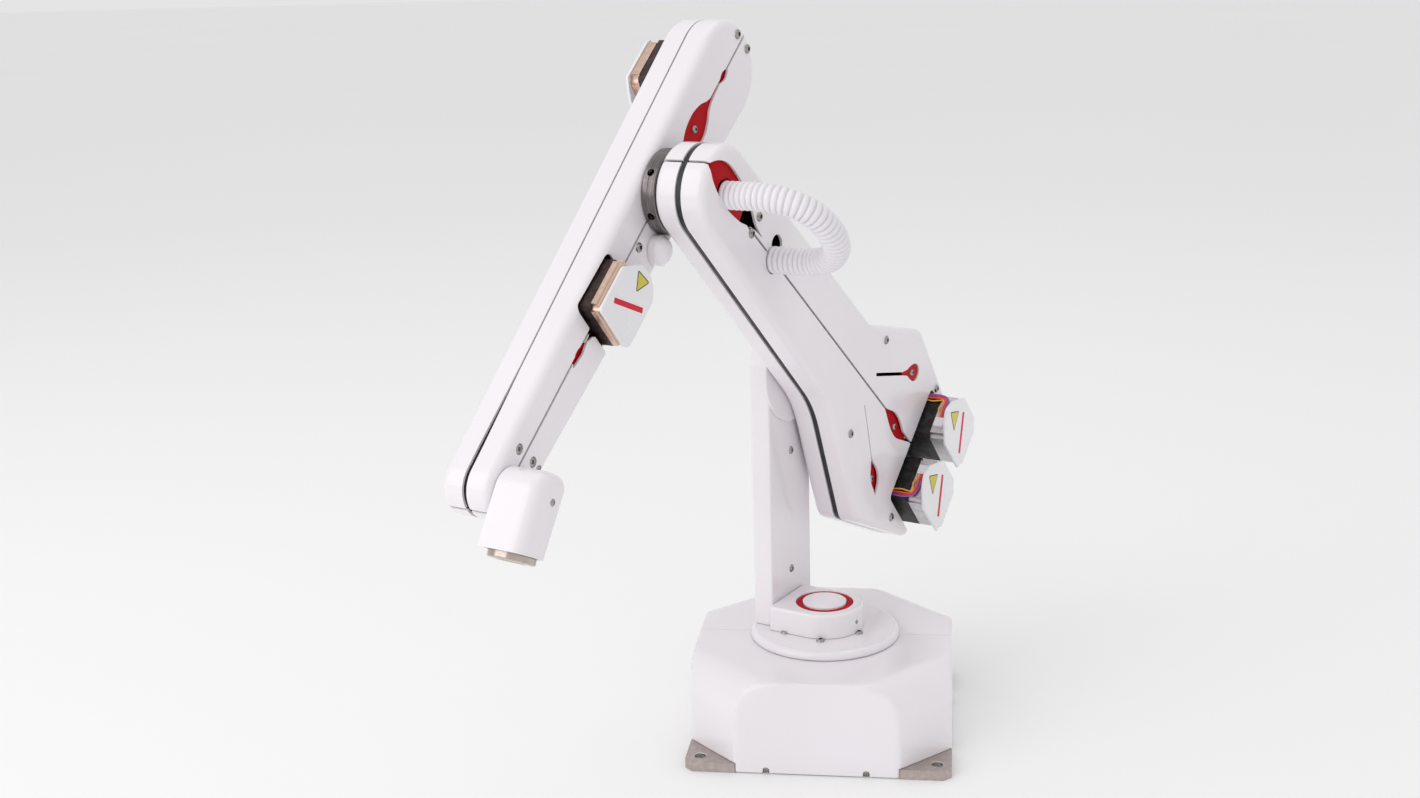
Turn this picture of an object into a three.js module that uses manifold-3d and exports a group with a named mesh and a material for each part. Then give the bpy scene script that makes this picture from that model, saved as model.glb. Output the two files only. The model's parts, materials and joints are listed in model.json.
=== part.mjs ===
// Desktop robot arm: five belt-driven axes on a square bolted base.
// Millimetres, +Z up. The base's front faces -Y, and the arm stands turned on its first axis.
import * as THREE from "three";
import { mergeVertices } from "three/addons/utils/BufferGeometryUtils.js";
import Module from "manifold-3d";

const wasm = await Module();
wasm.setup();

// ---- driving dimensions ----
const GAP = 0.3; // between neighbouring pieces
const YAW = THREE.MathUtils.degToRad(23.7); // how far the arm is turned on its base

const BASE = { side: 200, thick: 7.6, corner: 5.9, hole: 4.9, inset: 10.8, notch: 3.4 };
const COVER = { cut: 38.9, top: 74, wall: 3, shoulder: 45, bend: 28, lip: 1, mouth: 36 };
const DISC = { radius: 58.6, bottom: 74.3, top: 80.5, rim: 6 };
const PEDESTAL = { radius: 30.4, top: 100.2, back: 27, left: -34.1 };
const RING = { outer: 22.4, inner: 17.5, deep: 4 };
const COLUMN = { left: -50.9, right: -34.4, half: 32, centre: 9.5 };

// Places across the arm (x) and in its plane (y towards the back, z up).
const SHOULDER = [14, 285];
const ELBOW = [-144, 440];
const WRIST = [-329, 280];
const CROWN = [-55, 514];

const UPPER = { left: -32, plateLeft: -14.6, plateRight: -10.4, right: 7.1, wall: 3, round: 6 };
const FORE = { left: -82, plateLeft: -64.7, plateRight: -60.4, right: -43.1, wall: 3, round: 6 };
const FORE_TIP = 20;
const FORE_CROWN = 37;
const ELBOW_REACH = 32;
const HUB = 43.5;
const FLANGE = 29.5;
const SEAM = 0.8;

const MOTOR = { half: 21.15, chamfer: 4.5, shaft: 2.5, pulley: 6.5 };
const UPPER_MOTOR_TURN = THREE.MathUtils.degToRad(42.2);
const FORE_TURN = Math.atan2(CROWN[1] - WRIST[1], CROWN[0] - WRIST[0]);
// A point `t` along the forearm from the wrist, and `side` towards its front edge.
const alongFore = (t, side = 0) => [
  WRIST[0] + Math.cos(FORE_TURN) * t - Math.sin(FORE_TURN) * side,
  WRIST[1] + Math.sin(FORE_TURN) * t + Math.cos(FORE_TURN) * side];
const PITCH_MOTOR = alongFore(148, 1);
const ROLL_MOTOR = alongFore(347);
const PITCH_IDLER = alongFore(105);
const ROLL_IDLER = alongFore(292);
const ELBOW_MOTOR = [185, 197];
const SHOULDER_MOTOR = [142, 153];

const ELBOW_IDLER = [118, 214];
const SHOULDER_IDLER = [75, 181];
const TENSIONER = [148, 253];
const IDLER = { big: 16, small: 8, shaft: 4 };
const JOINT_PULLEY = 26;
const SHOULDER_PULLEY = 20;
const BELT = 1.4;

const HOSE = { radius: 10.5, exit: [-85, 387], sides: 12, steps: 20 };
// Hand-chosen points of the hose's centre line, from the elbow round to the upper arm.
const HOSE_ROUTE = [
  [4.1, -144, 440], [14, -144, 440], [28, -144, 440], [42, -142.8, 439], [55, -138.5, 435.4],
  [64, -131, 428.8], [68.5, -120.5, 419.2], [68.5, -109, 408.8], [64, -98.6, 399.4],
  [55, -90.5, 392], [42, -86.2, 388.1], [28, -85, 387], [14, -85, 387], [2.5, -85, 387],
];

const ROLL_TILT = Math.atan2(0.465, 0.885); // the tool axis leans from the vertical
const TOOL = { radius: 14, neck: 12.2, left: -42.5, right: -10.5, half: 16, shift: -4 };
const HOUSING = { above: 13.7, below: 38.3, wall: 3 };

// ---- materials ----
const material = (color, roughness, metalness = 0) =>
  new THREE.MeshStandardMaterial({ color, roughness, metalness });
const WHITE = material(0xf0ecf1, 0.25);
const BLACK = material(0x1c1a1e, 0.5);
const RED = material(0xa8101e, 0.4);
const STEEL = material(0x5a5654, 0.4, 1);
const BRIGHT = material(0xc9c6c2, 0.3, 1);
const RUBBER = material(0x151515, 0.8);
const HOSE_WHITE = material(0xece8ee, 0.45);
const BASE_METAL = material(0x8f877f, 0.5, 1);

// ---- solids ----
const solid = (geometry) => {
  const bare = new THREE.BufferGeometry();
  bare.setAttribute("position", geometry.getAttribute("position").clone());
  if (geometry.index) bare.setIndex(geometry.index.clone());
  const merged = mergeVertices(bare, 1e-4);
  const index = [];
  for (let i = 0; i < merged.index.count; i += 3) {
    const [a, b, c] = [0, 1, 2].map((k) => merged.index.getX(i + k));
    if (a !== b && b !== c && a !== c) index.push(a, b, c);
  }
  return new wasm.Manifold(new wasm.Mesh({
    numProp: 3,
    vertProperties: merged.attributes.position.array,
    triVerts: new Uint32Array(index),
  }));
};
const geometryOf = (body) => {
  const mesh = body.getMesh();
  const geometry = new THREE.BufferGeometry();
  geometry.setAttribute("position", new THREE.BufferAttribute(new Float32Array(mesh.vertProperties), 3));
  geometry.setIndex(new THREE.BufferAttribute(new Uint32Array(mesh.triVerts), 1));
  geometry.computeVertexNormals();
  return geometry;
};
const cut = (body, ...tools) => tools.reduce((s, t) => s.subtract(t), body);
const join = (body, ...more) => more.reduce((s, t) => s.add(t), body);
const common = (body, ...more) => more.reduce((s, t) => s.intersect(t), body);

const arm = new THREE.Group();
const turned = new THREE.Group(); // everything above the first axis
turned.rotation.z = -YAW;
arm.add(turned);
const place = (group, name, body, mat) => {
  const mesh = new THREE.Mesh(geometryOf(body), mat);
  mesh.name = name;
  group.add(mesh);
};

// ---- outlines in the arm's plane ----
const unit = (a, b) => {
  const l = Math.hypot(b[0] - a[0], b[1] - a[1]);
  return [(b[0] - a[0]) / l, (b[1] - a[1]) / l];
};
const crossing = (p, u, q, v) => {
  const t = ((q[0] - p[0]) * v[1] - (q[1] - p[1]) * v[0]) / (u[0] * v[1] - u[1] * v[0]);
  return [p[0] + u[0] * t, p[1] + u[1] * t];
};
// A closed outline of [y, z, corner radius], anticlockwise, drawn `inset` inside its edges.
const rounded = (corners, inset = 0) => {
  const n = corners.length;
  const edges = corners.map((c, i) => {
    const u = unit(c, corners[(i + 1) % n]);
    return { p: [c[0] - u[1] * inset, c[1] + u[0] * inset], u };
  });
  const shape = new THREE.Shape();
  corners.forEach((c, i) => {
    const before = edges[(i + n - 1) % n], after = edges[i];
    const v = crossing(before.p, before.u, after.p, after.u);
    const turn = before.u[0] * after.u[1] - before.u[1] * after.u[0];
    const radius = Math.max(0.2, turn > 0 ? c[2] - inset : c[2] + inset);
    const half = Math.acos(THREE.MathUtils.clamp(
      before.u[0] * after.u[0] + before.u[1] * after.u[1], -1, 1)) / 2;
    const back = radius * Math.tan(half), side = Math.sign(turn);
    const start = [v[0] - before.u[0] * back, v[1] - before.u[1] * back];
    const centre = [start[0] - before.u[1] * radius * side, start[1] + before.u[0] * radius * side];
    const from = Math.atan2(start[1] - centre[1], start[0] - centre[0]);
    shape.absarc(centre[0], centre[1], radius, from, from + 2 * half * side, side < 0);
  });
  return shape;
};
// Two circles and their outer tangents.
const taper = (a, ra, b, rb, inset = 0) => {
  const axis = Math.atan2(b[1] - a[1], b[0] - a[0]);
  const lean = Math.asin((rb - ra) / Math.hypot(b[0] - a[0], b[1] - a[1]));
  const side = Math.PI / 2 + lean;
  const shape = new THREE.Shape();
  shape.absarc(b[0], b[1], rb - inset, axis - side, axis + side, false);
  shape.absarc(a[0], a[1], ra - inset, axis + side, axis + 2 * Math.PI - side, false);
  return shape;
};
const disc = (c, r) => new THREE.Shape().absarc(c[0], c[1], r, 0, 2 * Math.PI, false);
const polygon = (points) => new THREE.Shape(points.map((p) => new THREE.Vector2(...p)));
// A rectangle about c, turned by `turn`, from (u0, v0) to (u1, v1) in its own directions.
const tilted = (c, turn, u0, u1, v0, v1, r = 0.2) => {
  const [s, k] = [Math.sin(turn), Math.cos(turn)];
  const at = (u, v) => [c[0] + u * k - v * s, c[1] + u * s + v * k, r];
  return rounded([at(u0, v0), at(u1, v0), at(u1, v1), at(u0, v1)]);
};
// A pointed eye from a to b that swells by `left` and `right` on its two sides.
const eye = (a, b, left, right) => {
  const u = unit(a, b), m = [(a[0] + b[0]) / 2, (a[1] + b[1]) / 2];
  const shape = new THREE.Shape().moveTo(a[0], a[1]);
  shape.quadraticCurveTo(m[0] + u[1] * 2 * right, m[1] - u[0] * 2 * right, b[0], b[1]);
  shape.quadraticCurveTo(m[0] - u[1] * 2 * left, m[1] + u[0] * 2 * left, a[0], a[1]);
  return shape;
};

// ---- bodies across the arm ----
const ACROSS = new THREE.Matrix4().makeBasis(
  new THREE.Vector3(0, 1, 0), new THREE.Vector3(0, 0, 1), new THREE.Vector3(1, 0, 0));
const extrude = (shape, from, to, round = 0, curve = 8) => {
  const bevel = { bevelSize: round, bevelThickness: round, bevelOffset: -round, bevelSegments: 3 };
  const depth = to - from - 2 * round;
  const g = new THREE.ExtrudeGeometry(shape, { depth, curveSegments: curve, bevelEnabled: round > 0, ...bevel });
  return g.translate(0, 0, from + round);
};
const slab = (shape, from, to, round = 0, curve = 8) =>
  solid(extrude(shape, from, to, round, curve).applyMatrix4(ACROSS));
// A slab whose face at `outer` has a rounded edge and whose face at `inner` is square.
const capped = (shape, inner, outer, round) => {
  const step = Math.sign(outer - inner) * round * 1.5;
  const [lo, hi] = [Math.min(inner - step, outer), Math.max(inner - step, outer)];
  const keep = new THREE.BoxGeometry(Math.abs(outer - inner) + 1, 2000, 2000)
    .translate((outer + inner) / 2 + Math.sign(outer - inner) * 0.5, 0, 0);
  return common(slab(shape, lo, hi, round), solid(keep));
};
// A turned piece on an axis across the arm: profile of [radius, x].
const lathe = (profile, centre = [0, 0], segments = 24) => {
  const points = profile.map((p) => new THREE.Vector2(...p));
  if (profile[0][0] > 0) points.push(points[0].clone());
  if (THREE.ShapeUtils.area(points) > 0) points.reverse();
  points.reverse();
  return solid(new THREE.LatheGeometry(points, segments).rotateZ(-Math.PI / 2)
    .translate(0, centre[0], centre[1]));
};
const rod = (c, r, from, to, segments = 24) => lathe([[0, from], [r, from], [r, to], [0, to]], c, segments);
const tube = (c, r, bore, from, to, segments = 24) =>
  lathe([[bore, from], [r, from], [r, to], [bore, to]], c, segments);
const upright = (body) => geometryOf(body).rotateY(-Math.PI / 2); // from across the arm to up
const belt = (a, ra, b, rb, from, to) => cut(
  slab(taper(a, ra + GAP + BELT, b, rb + GAP + BELT), from, to, 0, 7),
  slab(taper(a, ra + GAP, b, rb + GAP), from - 1, to + 1, 0, 7));

// ---- base ----
const prism = (half, top, shoulder, bend, turn, floor) => {
  const shape = new THREE.Shape().moveTo(-half, floor).lineTo(half, floor);
  shape.lineTo(half, shoulder);
  for (const side of [1, -1])
    for (let i = 1; i <= 6; i++) {
      const a = (Math.PI / 2) * (side > 0 ? i / 6 : 1 - (i - 1) / 6);
      if (side < 0 && i === 1) shape.lineTo(-half + bend, top);
      else shape.lineTo(side * (half - bend + bend * Math.cos(a)), shoulder + (top - shoulder) * Math.sin(a));
    }
  shape.lineTo(-half, shoulder);
  return solid(new THREE.ExtrudeGeometry(shape, { depth: 400, bevelEnabled: false })
    .translate(0, 0, -200).rotateX(Math.PI / 2).rotateZ(turn));
};
const coverBody = (inset, floor) => {
  const half = BASE.side / 2 - inset, top = COVER.top - inset;
  const diagonal = (BASE.side - COVER.cut) / Math.SQRT2 - inset;
  const across = COVER.bend / Math.SQRT2 + 2;
  const edge = top - 4;
  return common(
    prism(half, top, edge, 4, 0, floor), prism(half, top, edge, 4, Math.PI / 2, floor),
    prism(diagonal, top, COVER.shoulder - 2, across, Math.PI / 4, floor),
    prism(diagonal, top, COVER.shoulder - 2, across, -Math.PI / 4, floor));
};
const block = (x0, x1, y0, y1, z0, z1) => solid(
  new THREE.BoxGeometry(x1 - x0, y1 - y0, z1 - z0)
    .translate((x0 + x1) / 2, (y0 + y1) / 2, (z0 + z1) / 2));
const column = (r, z0, z1, x = 0, y = 0, segments = 40) => solid(
  new THREE.CylinderGeometry(r, r, z1 - z0, segments).rotateX(Math.PI / 2).translate(x, y, (z0 + z1) / 2));

const PANEL = BASE.side / 2 - COVER.cut; // half the width of a flat side panel
const plateOutline = () => {
  const h = BASE.side / 2, c = h - BASE.corner, p = PANEL + 0.4, n = h - BASE.notch;
  const quarter = [[p, -n], [p, -h], [c, -h], [h, -c], [h, -p], [n, -p]];
  const points = [];
  for (let i = 0; i < 4; i++) {
    const [s, k] = [Math.sin((i * Math.PI) / 2), Math.cos((i * Math.PI) / 2)];
    quarter.forEach(([x, y]) => points.push([x * k - y * s, x * s + y * k]));
  }
  return polygon(points);
};
const basePlate = () => {
  const shape = plateOutline(), at = BASE.side / 2 - BASE.inset;
  for (const x of [-at, at])
    for (const y of [-at, at])
      shape.holes.push(new THREE.Path().absarc(x, y, BASE.hole, 0, 2 * Math.PI, true));
  return solid(new THREE.ExtrudeGeometry(shape, { depth: BASE.thick, bevelEnabled: false, curveSegments: 20 }));
};
const INLET = { half: 15, tall: 22, y: BASE.side / 2, z: 34, deep: 16 };
const baseCover = (front) => {
  const top = BASE.thick + GAP;
  let body = cut(coverBody(0, COVER.lip), coverBody(COVER.wall, -5),
    column(COVER.mouth, 50, 90));
  // The shell stands on the plate, and its four flat panels reach down over the plate's edge.
  const h = BASE.side / 2 + 1;
  for (const [x, y] of [[1, 1], [1, -1], [-1, 1], [-1, -1]])
    body = cut(body, block(Math.min(x * PANEL, x * h), Math.max(x * PANEL, x * h),
      Math.min(y * (PANEL), y * h), Math.max(y * PANEL, y * h), -1, top));
  const skirt = BASE.side / 2 - COVER.wall;
  body = cut(body, block(-skirt, skirt, -skirt, skirt, -6, top));
  if (!front) body = cut(body, block(-INLET.half - GAP, INLET.half + GAP, 90, 110,
    INLET.z - INLET.tall / 2 - GAP, INLET.z + INLET.tall / 2 + GAP));
  return common(body, front ? block(-110, 110, -110, -SEAM / 2, 0, 90) : block(-110, 110, SEAM / 2, 110, 0, 90));
};
const powerInlet = () => {
  const { half, tall, y, z, deep } = INLET;
  return cut(block(-half, half, y - deep, y, z - tall / 2, z + tall / 2),
    block(-half + 3, half - 3, y - deep + 3, y + 1, z - tall / 2 + 3, z + tall / 2 - 3));
};
const BASE_MOTOR_Y = 62, SPINDLE = 14, SLEW = 32, SLEW_Z = [52, 60];
const standing = (body) => solid(upright(body)); // turned about +Z, from a lathe across the arm
const slewBelt = () => {
  const grow = (g) => taper([0, 0], SLEW + GAP + g, [0, BASE_MOTOR_Y], MOTOR.pulley + GAP + g);
  const band = (g, z0, z1) => solid(
    new THREE.ExtrudeGeometry(grow(g), { depth: z1 - z0, bevelEnabled: false, curveSegments: 10 })
      .translate(0, 0, z0));
  return cut(band(BELT, SLEW_Z[0] + 1, SLEW_Z[1] - 1), band(0, SLEW_Z[0], SLEW_Z[1]));
};
place(arm, "base_plate", basePlate(), BASE_METAL);
place(arm, "base_cover_front", baseCover(true), WHITE);
place(arm, "base_cover_rear", baseCover(false), WHITE);
place(arm, "power_inlet", powerInlet(), BLACK);
place(arm, "base_motor", block(-MOTOR.half, MOTOR.half, BASE_MOTOR_Y - 30 + 8.85,
  BASE_MOTOR_Y + 21.15, BASE.thick + GAP, 47), BLACK);
place(arm, "base_motor_pulley", standing(lathe([[0, 47.3], [MOTOR.shaft, 47.3], [MOTOR.shaft, 52],
  [MOTOR.pulley, 52], [MOTOR.pulley, 60], [0, 60]])).translate([0, BASE_MOTOR_Y, 0]), BRIGHT);
place(arm, "base_belt", slewBelt(), RUBBER);
place(arm, "turntable_bearing", standing(lathe([[SPINDLE + GAP, BASE.thick + GAP], [34, BASE.thick + GAP],
  [34, 14], [26, 14], [26, 44], [SPINDLE + GAP, 44]], [0, 0], 36)), STEEL);

// ---- turret ----
const turntable = () => standing(lathe([[SPINDLE + GAP, DISC.bottom], [DISC.radius - 1.5, DISC.bottom],
  [DISC.radius, DISC.bottom + 1.5], [DISC.radius - 1.6, DISC.top - 2.6], [DISC.radius - 3.6, DISC.top - 0.8],
  [DISC.radius - DISC.rim, DISC.top], [SPINDLE + GAP, DISC.top]], [0, 0], 72));
const spindle = () => standing(lathe([[7, 16], [SPINDLE, 16], [SPINDLE, SLEW_Z[0]], [SLEW, SLEW_Z[0]],
  [SLEW, SLEW_Z[1]], [SPINDLE, SLEW_Z[1]], [SPINDLE, DISC.top], [7, DISC.top]]));
const pedestal = () => {
  const z0 = DISC.top + GAP, { radius, left, back, top } = PEDESTAL;
  const shape = new THREE.Shape().moveTo(left, -radius + 6).lineTo(left, back).lineTo(0, back);
  shape.lineTo(radius - 3, back).lineTo(radius, back - 3).lineTo(radius, 0);
  shape.absarc(0, 0, radius, 0, -Math.PI / 2, true).lineTo(left + 8, -radius);
  const body = solid(new THREE.ExtrudeGeometry(shape, { depth: top - z0 - 3, curveSegments: 20,
    bevelSize: 1.5, bevelThickness: 1.5, bevelOffset: -1.5, bevelSegments: 2 }).translate(0, 0, z0 + 1.5));
  return cut(body, column(RING.outer + GAP, top - RING.deep, top + 5, 0, 0, 56));
};
const ring = (r, bore, z0, z1) => standing(tube([0, 0], r, bore, z0, z1, 56));
const cap = () => standing(lathe([[0, PEDESTAL.top - RING.deep + GAP], [RING.inner - GAP, PEDESTAL.top - RING.deep + GAP],
  [RING.inner - GAP, PEDESTAL.top + 0.2], [RING.inner - 2.5, PEDESTAL.top + 1.2], [0, PEDESTAL.top + 1.6]], [0, 0], 56));
const columnOutline = (inset = 0) => {
  const { half, centre } = COLUMN, z0 = DISC.top + GAP;
  const shape = new THREE.Shape().moveTo(centre - half + inset, z0 + inset);
  shape.lineTo(centre + half - inset, z0 + inset).lineTo(centre + half - inset, SHOULDER[1]);
  return shape.absarc(centre, SHOULDER[1], half - inset, 0, Math.PI, false);
};
const columnPost = () => {
  const outer = slab(columnOutline(), COLUMN.left, COLUMN.right, 1.5, 20);
  const hollow = slab(columnOutline(6), COLUMN.left + 3, COLUMN.right - 3);
  const web = rod(SHOULDER, 21, COLUMN.left, COLUMN.right);
  const window = block(COLUMN.left + 3, COLUMN.right - 3, COLUMN.centre - 26, COLUMN.centre + 26, 0, 130);
  return cut(join(cut(outer, hollow), common(web, outer)), window, rod(SHOULDER, 17, -60, -30));
};
// The hub disc, its shaft through the upper arm, and the pulley that the arm pulls itself round on.
const shoulderHub = () => lathe([[0, -48], [16.7, -48], [16.7, -34.1], [HUB, -34.1], [HUB, -32.9],
  [HUB - 0.7, -32.3], [12, -32.3], [12, -30.6], [8, -30.6], [8, -9.8], [SHOULDER_PULLEY, -9.8],
  [SHOULDER_PULLEY, -4.2], [0, -4.2]], SHOULDER, 48);
place(turned, "turntable_disc", turntable(), WHITE);
place(turned, "turntable_spindle", spindle(), BRIGHT);
place(turned, "pedestal", pedestal(), WHITE);
place(turned, "indicator_ring", ring(RING.outer, RING.inner, PEDESTAL.top - RING.deep + GAP,
  PEDESTAL.top + 0.6), RED);
place(turned, "indicator_cap", cap(), WHITE);
place(turned, "column", columnPost(), WHITE);
place(turned, "shoulder_hub", shoulderHub(), WHITE);

// ---- covers of both arm sections ----
const beyond = (half) => (half.outer > half.inner ? 5 : -5);
const hollowCover = (outline, half, wall, round) => {
  const inside = half.outer - Math.sign(beyond(half)) * wall;
  const mouth = half.inner - beyond(half);
  return cut(capped(outline(0), half.inner, half.outer, round),
    slab(outline(wall), Math.min(mouth, inside), Math.max(mouth, inside)));
};
const through = (shape, half, curve = 8) => slab(shape,
  Math.min(half.inner, half.outer) - 5, Math.max(half.inner, half.outer) + 5, 0, curve);
const split = (body, side, front, seamTurn) => {
  const region = slab(polygon(front), -200, 200);
  if (side === "front") return common(body, region);
  const [s, k] = [Math.sin(seamTurn), Math.cos(seamTurn)];
  return cut(body, region.translate([0, -s * SEAM, k * SEAM]));
};

// ---- upper arm ----
const upperOutline = (inset = 0) => {
  const u = unit(SHOULDER, ELBOW), r = ELBOW_REACH;
  const end = (side) => [ELBOW[0] + (u[0] - u[1] * side) * r, ELBOW[1] + (u[1] + u[0] * side) * r, r - 0.5];
  return rounded([end(1), [5, 257, 40], [46, 153, 12], [146, 108, 13], [230, 200, 14],
    [167, 287, 14], [75, 308, 30], end(-1)], inset);
};
const UPPER_SEAM = [[-300, 464], [-166, 464], [-118, 414], [96, 234], [141, 195], [300, 70], [300, 0], [-300, 0]];
const UPPER_SEAM_TURN = Math.atan2(234 - 414, 96 + 118);
const upperHalf = {
  left: { inner: UPPER.plateLeft - GAP, outer: UPPER.left },
  right: { inner: UPPER.plateRight + GAP, outer: UPPER.right },
};
const upperCover = (side) => {
  const half = upperHalf[side];
  const body = hollowCover(upperOutline, half, UPPER.wall, UPPER.round);
  if (side === "left") return cut(body, through(disc(SHOULDER, 13), half), through(disc(ELBOW, 13), half));
  const middle = [(ELBOW_MOTOR[0] + SHOULDER_MOTOR[0]) / 2, (ELBOW_MOTOR[1] + SHOULDER_MOTOR[1]) / 2];
  return cut(body,
    through(eye([-167, 465], [-117, 413], 19, 12), half, 10),
    through(eye([96, 234], [141, 195], 9, 9), half, 8),
    through(eye([72, 197], [77, 165], 5, 5), half, 6),
    through(tilted([66, 222], Math.atan2(-49, 12), -26, 27, -0.6, 0.6), half),
    through(disc(TENSIONER, 6), half, 6),
    through(tilted([110, 260.6], Math.atan2(-11, 52), -30, 35, -1.4, 1.4), half),
    through(disc(HOSE.exit, HOSE.radius + 0.5), half, 12),
    through(tilted(middle, UPPER_MOTOR_TURN, -53, 53, -80, 23.5, 3), half));
};
const plateWith = (outline, from, to, holes) =>
  cut(slab(outline(1.6), from, to), ...holes.map(([c, r]) => rod(c, r, from - 1, to + 1)));
const motorBody = (c, turn, from, to) => {
  const h = MOTOR.half, k = MOTOR.chamfer;
  const [s, q] = [Math.sin(turn), Math.cos(turn)];
  const corners = [[h - k, -h], [h, k - h], [h, h - k], [h - k, h], [k - h, h], [-h, h - k], [-h, k - h], [k - h, -h]];
  return slab(polygon(corners.map(([u, v]) => [c[0] + u * q - v * s, c[1] + u * s + v * q])), from, to);
};
// A motor's shaft with its small pulley; `front` is the motor's mounting face, `a` to `b` the pulley.
const motorPulley = (c, front, a, b) => {
  const profile = [[0, front], [MOTOR.shaft, front], [MOTOR.shaft, a], [MOTOR.pulley, a], [MOTOR.pulley, b], [0, b]];
  return lathe(profile, c, 20);
};
// Two pulleys on one shaft: [radius, from, to] each, in order across the arm.
const idler = (c, ...steps) => {
  const profile = [[0, steps[0][1]]];
  steps.forEach(([r, a, b]) => profile.push([r, a], [r, b]));
  return lathe([...profile, [0, steps.at(-1)[2]]], c, 20);
};
const hose = () => {
  const curve = new THREE.CatmullRomCurve3(HOSE_ROUTE.map((p) => new THREE.Vector3(...p)), false, "centripetal");
  const section = new THREE.Shape();
  for (let i = 0; i < HOSE.sides; i++) {
    const a = (i / HOSE.sides) * 2 * Math.PI, p = [HOSE.radius * Math.cos(a), HOSE.radius * Math.sin(a)];
    if (i) section.lineTo(...p);
    else section.moveTo(...p);
  }
  section.closePath();
  return solid(new THREE.ExtrudeGeometry(section, { steps: HOSE.steps, extrudePath: curve, bevelEnabled: false }));
};
place(turned, "upper_arm_frame", plateWith(upperOutline, UPPER.plateLeft, UPPER.plateRight, [
  [SHOULDER, 10], [ELBOW, 13], [ELBOW_MOTOR, 11], [SHOULDER_MOTOR, 11],
  [ELBOW_IDLER, IDLER.shaft + GAP], [SHOULDER_IDLER, IDLER.shaft + GAP]]), BLACK);
for (const side of ["left", "right"])
  for (const part of ["front", "rear"])
    place(turned, `upper_arm_cover_${side}_${part}`,
      split(upperCover(side), part, UPPER_SEAM, UPPER_SEAM_TURN), WHITE);
place(turned, "shoulder_bearing", tube(SHOULDER, 16, 8 + GAP, -28.5, -15.2), STEEL);
place(turned, "elbow_bearing", tube(ELBOW, 20, 12 + GAP, -28.5, -15.2), STEEL);
for (const [name, c] of [["shoulder", SHOULDER_MOTOR], ["elbow", ELBOW_MOTOR]]) {
  place(turned, `${name}_motor`, motorBody(c, UPPER_MOTOR_TURN, UPPER.plateRight + GAP, 30), BLACK);
  place(turned, `${name}_motor_cover`, motorBody(c, UPPER_MOTOR_TURN, 30 + GAP, 35), WHITE);
  place(turned, `${name}_motor_pulley`, motorPulley(c, UPPER.plateRight, -19, -27), BRIGHT);
}
place(turned, "shoulder_idler", idler(SHOULDER_IDLER, [IDLER.big, -27, -19], [IDLER.shaft, -19, -9.8],
  [IDLER.small, -9.8, -4.2], [IDLER.shaft, -4.2, 2.4], [11, 2.4, 3.8]), RED);
place(turned, "elbow_idler", idler(ELBOW_IDLER, [IDLER.big, -27, -19], [IDLER.shaft, -19, -2.8],
  [IDLER.small, -2.8, 2.2], [14, 2.2, 3.8]), RED);
place(turned, "belt_tensioner", idler(TENSIONER, [4, -10.1, -2], [9, -2, 3.8]), RED);
place(turned, "shoulder_belt", belt(SHOULDER_IDLER, IDLER.small, SHOULDER, SHOULDER_PULLEY, -9.3, -4.7), RUBBER);
place(turned, "elbow_belt", belt(ELBOW_IDLER, IDLER.small, ELBOW, JOINT_PULLEY, -2.4, 1.8), RUBBER);
place(turned, "shoulder_input_belt",
  belt(SHOULDER_MOTOR, MOTOR.pulley, SHOULDER_IDLER, IDLER.big, -26, -20), RUBBER);
place(turned, "elbow_input_belt", belt(ELBOW_MOTOR, MOTOR.pulley, ELBOW_IDLER, IDLER.big, -26, -20), RUBBER);
place(turned, "hose", hose(), HOSE_WHITE);

// ---- forearm ----
const foreOutline = (inset = 0) => taper(WRIST, FORE_TIP, CROWN, FORE_CROWN, inset);
const foreHalf = {
  left: { inner: FORE.plateLeft - GAP, outer: FORE.left },
  right: { inner: FORE.plateRight + GAP, outer: FORE.right },
};
const FORE_SEAM = [alongFore(-100), alongFore(500), alongFore(500, 200), alongFore(-100, 200)];
const foreCover = (side) => {
  const half = foreHalf[side];
  const body = hollowCover(foreOutline, half, FORE.wall, FORE.round);
  if (side === "left") return cut(body, through(tilted(ROLL_MOTOR, FORE_TURN, -23, 23, -23, 23, 4), half));
  return cut(body,
    through(eye(alongFore(306), alongFore(278), 10, 10), half, 8),
    through(eye(alongFore(356), alongFore(338), 3.6, 3.6), half, 6),
    through(eye(alongFore(113), alongFore(93), 4, 4), half, 6),
    through(disc(ELBOW, 16), half), through(disc(WRIST, 9), half),
    through(tilted(PITCH_MOTOR, FORE_TURN, -23, 23, -23.5, 23.5, 3), half),
    slab(tilted(PITCH_MOTOR, FORE_TURN, -23, 23, -60, 0), FORE.plateRight + 9, FORE.right + 5));
};
place(turned, "forearm_frame", plateWith(foreOutline, FORE.plateLeft, FORE.plateRight, [
  [ELBOW, 10], [WRIST, 5], [PITCH_MOTOR, 11], [ROLL_MOTOR, 11],
  [PITCH_IDLER, IDLER.shaft + GAP], [ROLL_IDLER, IDLER.shaft + GAP]]), BLACK);
for (const side of ["left", "right"])
  for (const part of ["front", "rear"])
    place(turned, `forearm_cover_${side}_${part}`, split(foreCover(side), part, FORE_SEAM, FORE_TURN + Math.PI), WHITE);
const elbowFlange = () => {
  let body = lathe([[9, -59.8], [15, -59.8], [15, -42.8], [FLANGE, -42.8], [FLANGE, -32.3], [12, -32.3],
    [12, -3.1], [9, -3.1]], ELBOW, 48);
  for (let i = 0; i < 8; i++) {
    const hole = column(2.6, FLANGE - 6, FLANGE + 3, 0, 0, 12)
      .rotate([(i * 360) / 8 + 22.5, 0, 0]).translate([-37.5, ELBOW[0], ELBOW[1]]);
    body = cut(body, hole);
  }
  return body;
};
place(turned, "elbow_flange", elbowFlange(), STEEL);
place(turned, "elbow_pulley", lathe([[10, -2.8], [JOINT_PULLEY, -2.8], [JOINT_PULLEY, 2.2], [28, 2.2],
  [28, 3.8], [10, 3.8]], ELBOW, 40), RED);
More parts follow.
